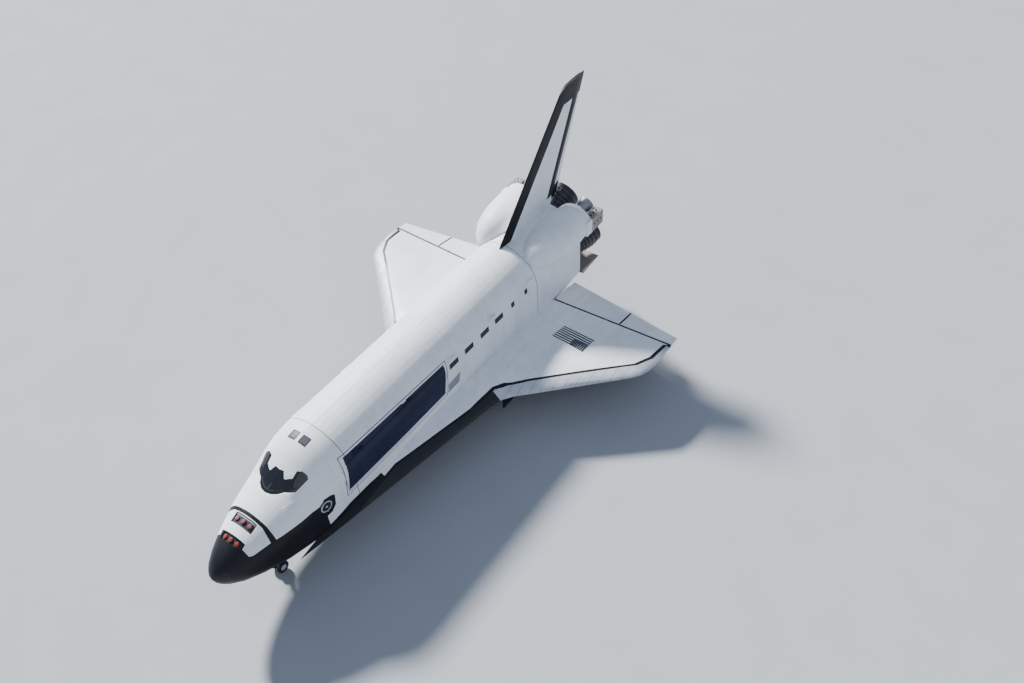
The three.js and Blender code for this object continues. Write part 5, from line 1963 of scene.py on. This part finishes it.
@dataclass
class LandingGear:
    """Legs, wheels and brake lines of the landing gear, and the doors of the nose gear."""

    nose: Gear = Gear(3.785, 0.0, tyre=0.406, width=0.224, rim=0.190, spacing=0.280,
                      strut=0.110, collar=1.45, top=3.1)
    main: Gear = Gear(23.774, 3.454, tyre=0.565, width=0.400, rim=0.280, spacing=0.470,
                      strut=0.150, collar=1.25, top=3.0)
    # Brake lines: where they lie round the strut in radians, their radius, how far their middle lies
    # off the strut, how far they stop over the collar, and how far their foot bends in
    line_turns: tuple[float, ...] = (0.6, 0.95, -0.75)
    line_radius: float = 0.011
    line_gap: float = 0.014
    line_end: float = 0.05
    line_bend: float = 0.03
    line_steps: int = 12
    # Clips that hold them, as shares of the strut's height
    clips: tuple[float, ...] = (0.2, 0.5, 0.8)
    clip_half: float = 0.018
    clip_sink: float = 0.004
    clip_lift: float = 0.008
    # Bolts as shares of the rim's radius, and how far out they stand as a share of the tyre's width
    bolt_circle: float = 0.72
    bolt_radius: float = 0.055
    bolt_height: float = 0.12
    bolt_out: float = 0.42

    def build(self, bolts: Pattern) -> None:
        """Builds and dresses the sub-assembly.

        Args:
            bolts: The tree that sets bolt heads on a circle.
        """
        dress("nose_leg", Coat.ENAMEL)
        dress("nose_steering_piston", Coat.ENAMEL)
        dress("nose_wheel_rims", Coat.ENAMEL)
        gear = self.nose
        for side, turn in reversed(TURNS.items()):
            Wheel(f"nose_tyre_{side}", gear, turn * gear.spacing).build()
            dress(f"nose_gear_door_{side}", Coat.BLACK)
        self.rim_bolts("nose_wheel_rims", bolts, gear, gear.side)
        self.leg_lines("nose", gear, gear.side)
        gear = self.main
        for side, turn in TURNS.items():
            for part in ("leg", "piston", "wheel_rims"):
                dress(f"main_{part}_{side}", Coat.ENAMEL)
            middle = turn * gear.side
            Wheel(f"main_tyre_inner_{side}", gear, turn * (gear.side - gear.spacing)).build()
            Wheel(f"main_tyre_outer_{side}", gear, turn * (gear.side + gear.spacing)).build()
            self.rim_bolts(f"main_wheel_rims_{side}", bolts, gear, middle)
            self.leg_lines(f"main_{side}", gear, middle)

    def leg_lines(self, name: str, gear: Gear, side: float) -> None:
        """Runs brake lines and their clips down a leg.

        Args:
            name: The leg's name.
            gear: Its sizes.
            side: Its y.
        """
        radius, low, high = gear.strut, gear.collar, gear.top
        parts = []
        for turn in self.line_turns:
            out = Vector((math.cos(turn), math.sin(turn), 0.0))
            drop = low + self.line_end - high
            stops = [high + drop * i / self.line_steps for i in range(self.line_steps + 1)]
            path = [at(gear.station, side, z) + out * (radius + self.line_gap) for z in stops]
            foot = path[-1] + (DOWN - out) * self.line_bend
            parts.append(tube([*path, foot], self.line_radius, 8))
        half, inner, outer = self.clip_half, radius - self.clip_sink, radius + self.clip_lift
        band = [(-half, inner), (-half, outer), (half, outer), (half, inner)]
        for share in self.clips:
            parts.append(lathe(band, at(gear.station, side, low + (high - low) * share), -DOWN, 36))
        lay(f"{name}_leg_lines", parts, Coat.FRAME)

    def rim_bolts(self, node: str, bolts: Pattern, gear: Gear, middle: float) -> None:
        """Sets bolt heads on the outer faces of a pair of rims.

        Args:
            node: The rims' node.
            bolts: The tree that sets them.
            gear: The leg's sizes.
            middle: The y of the leg.
        """
        parts = []
        for i, out in enumerate((-1, 1)):
            side = middle + out * gear.spacing
            mesh = bolts.run(
                f"{node}_bolts_{i}", None, Coat.CHROME, Circle_Radius=gear.rim * self.bolt_circle,
                Bolt_Radius=gear.rim * self.bolt_radius, Bolt_Height=gear.rim * self.bolt_height,
                Centre=(aft(gear.station), side + out * gear.width * self.bolt_out, gear.tyre),
            )
            part = bmesh.new()
            part.from_mesh(mesh)
            parts.append(part)
        lay(f"{node}_bolts", parts, Coat.CHROME, body_of_node(node))


@dataclass
class Studio:
    """Pale floor, soft lights and the camera of the photograph."""

    floor_size: float = 460.0
    floor_height: float = -0.004
    # The camera's place and axes, fitted to the photograph
    place: Place = (28.188899, 29.380712, 46.51644)
    right: Place = (-0.579232, 0.813405, -0.053502)
    down: Place = (0.601156, 0.381916, -0.701963)
    forward: Place = (-0.550547, -0.438762, -0.710201)
    focal_pixels: float = 900.0
    image_width: float = 1024.0
    sensor_mm: float = 36.0
    farthest: float = 1500.0
    # Lamps with the way in which they shine, their strength and the angle of their disc in degrees
    lamps: tuple[tuple[str, Place, float, float], ...] = (
        ("key", (0.28, 0.76, -0.62), 10.0, 7.0),
        ("fill", (-0.6, -0.8, -0.7), 0.35, 60.0),
    )
    sky: str = "a9bbd8"
    sky_strength: float = 0.75

    def build(self) -> None:
        """Builds the studio."""
        self.floor()
        self.lights()
        self.camera()

    def floor(self) -> None:
        """Lays the floor just below the tyres."""
        made = bmesh.new()
        bmesh.ops.create_grid(made, x_segments=2, y_segments=2, size=self.floor_size)
        bmesh.ops.translate(made, verts=made.verts, vec=(0.0, 0.0, self.floor_height))
        mesh = bpy.data.meshes.new("studio_floor")
        made.to_mesh(mesh)
        made.free()
        mesh.materials.append(Paintshop.get(Coat.FLOOR))
        floor = bpy.data.objects.new("studio_floor", mesh)
        bpy.context.scene.collection.objects.link(floor)

    def lights(self) -> None:
        """Hangs a key light that shines from high aft on the starboard side, a soft fill and an even sky."""
        for name, way, strength, angle in self.lamps:
            lamp = bpy.data.lights.new(name, "SUN")
            lamp.energy = strength
            lamp.angle = math.radians(angle)
            holder = bpy.data.objects.new(name, lamp)
            holder.rotation_euler = Vector(way).to_track_quat("-Z", "Y").to_euler()
            bpy.context.scene.collection.objects.link(holder)
        world = bpy.data.worlds.new("studio_sky")
        world.use_nodes = True
        background = world.node_tree.nodes["Background"]
        background.inputs["Color"].default_value = linear(self.sky)
        background.inputs["Strength"].default_value = self.sky_strength
        bpy.context.scene.world = world

    def camera(self) -> None:
        """Stands the camera where the photograph was taken."""
        lens = bpy.data.cameras.new("camera")
        lens.sensor_width = self.sensor_mm
        lens.lens = lens.sensor_width * self.focal_pixels / self.image_width
        lens.clip_end = self.farthest
        holder = bpy.data.objects.new("camera", lens)
        axes = Matrix((Vector(self.right), -Vector(self.down), -Vector(self.forward))).transposed()
        holder.rotation_euler = axes.to_euler()
        holder.location = self.place
        bpy.context.scene.collection.objects.link(holder)
        bpy.context.scene.camera = holder


def write_sizes() -> None:
    """Brings the placements of the scene up to date."""
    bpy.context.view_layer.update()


def main() -> None:
    """Builds every sub-assembly and the studio."""
    logging.basicConfig(level=logging.INFO, format="%(name)s %(message)s")
    rivets, hoops, bolts = rivet_pattern(), hoop_pattern(), bolt_pattern()
    frames, slats = frame_pattern(), slat_pattern()
    ForwardFuselage().build(rivets)
    MiddleFuselage().build(rivets, frames, slats)
    Wings().build()
    AftFuselage().build(hoops)
    Tail().build()
    LandingGear().build(bolts)
    Studio().build()
    write_sizes()


if __name__ == "__main__":
    main()
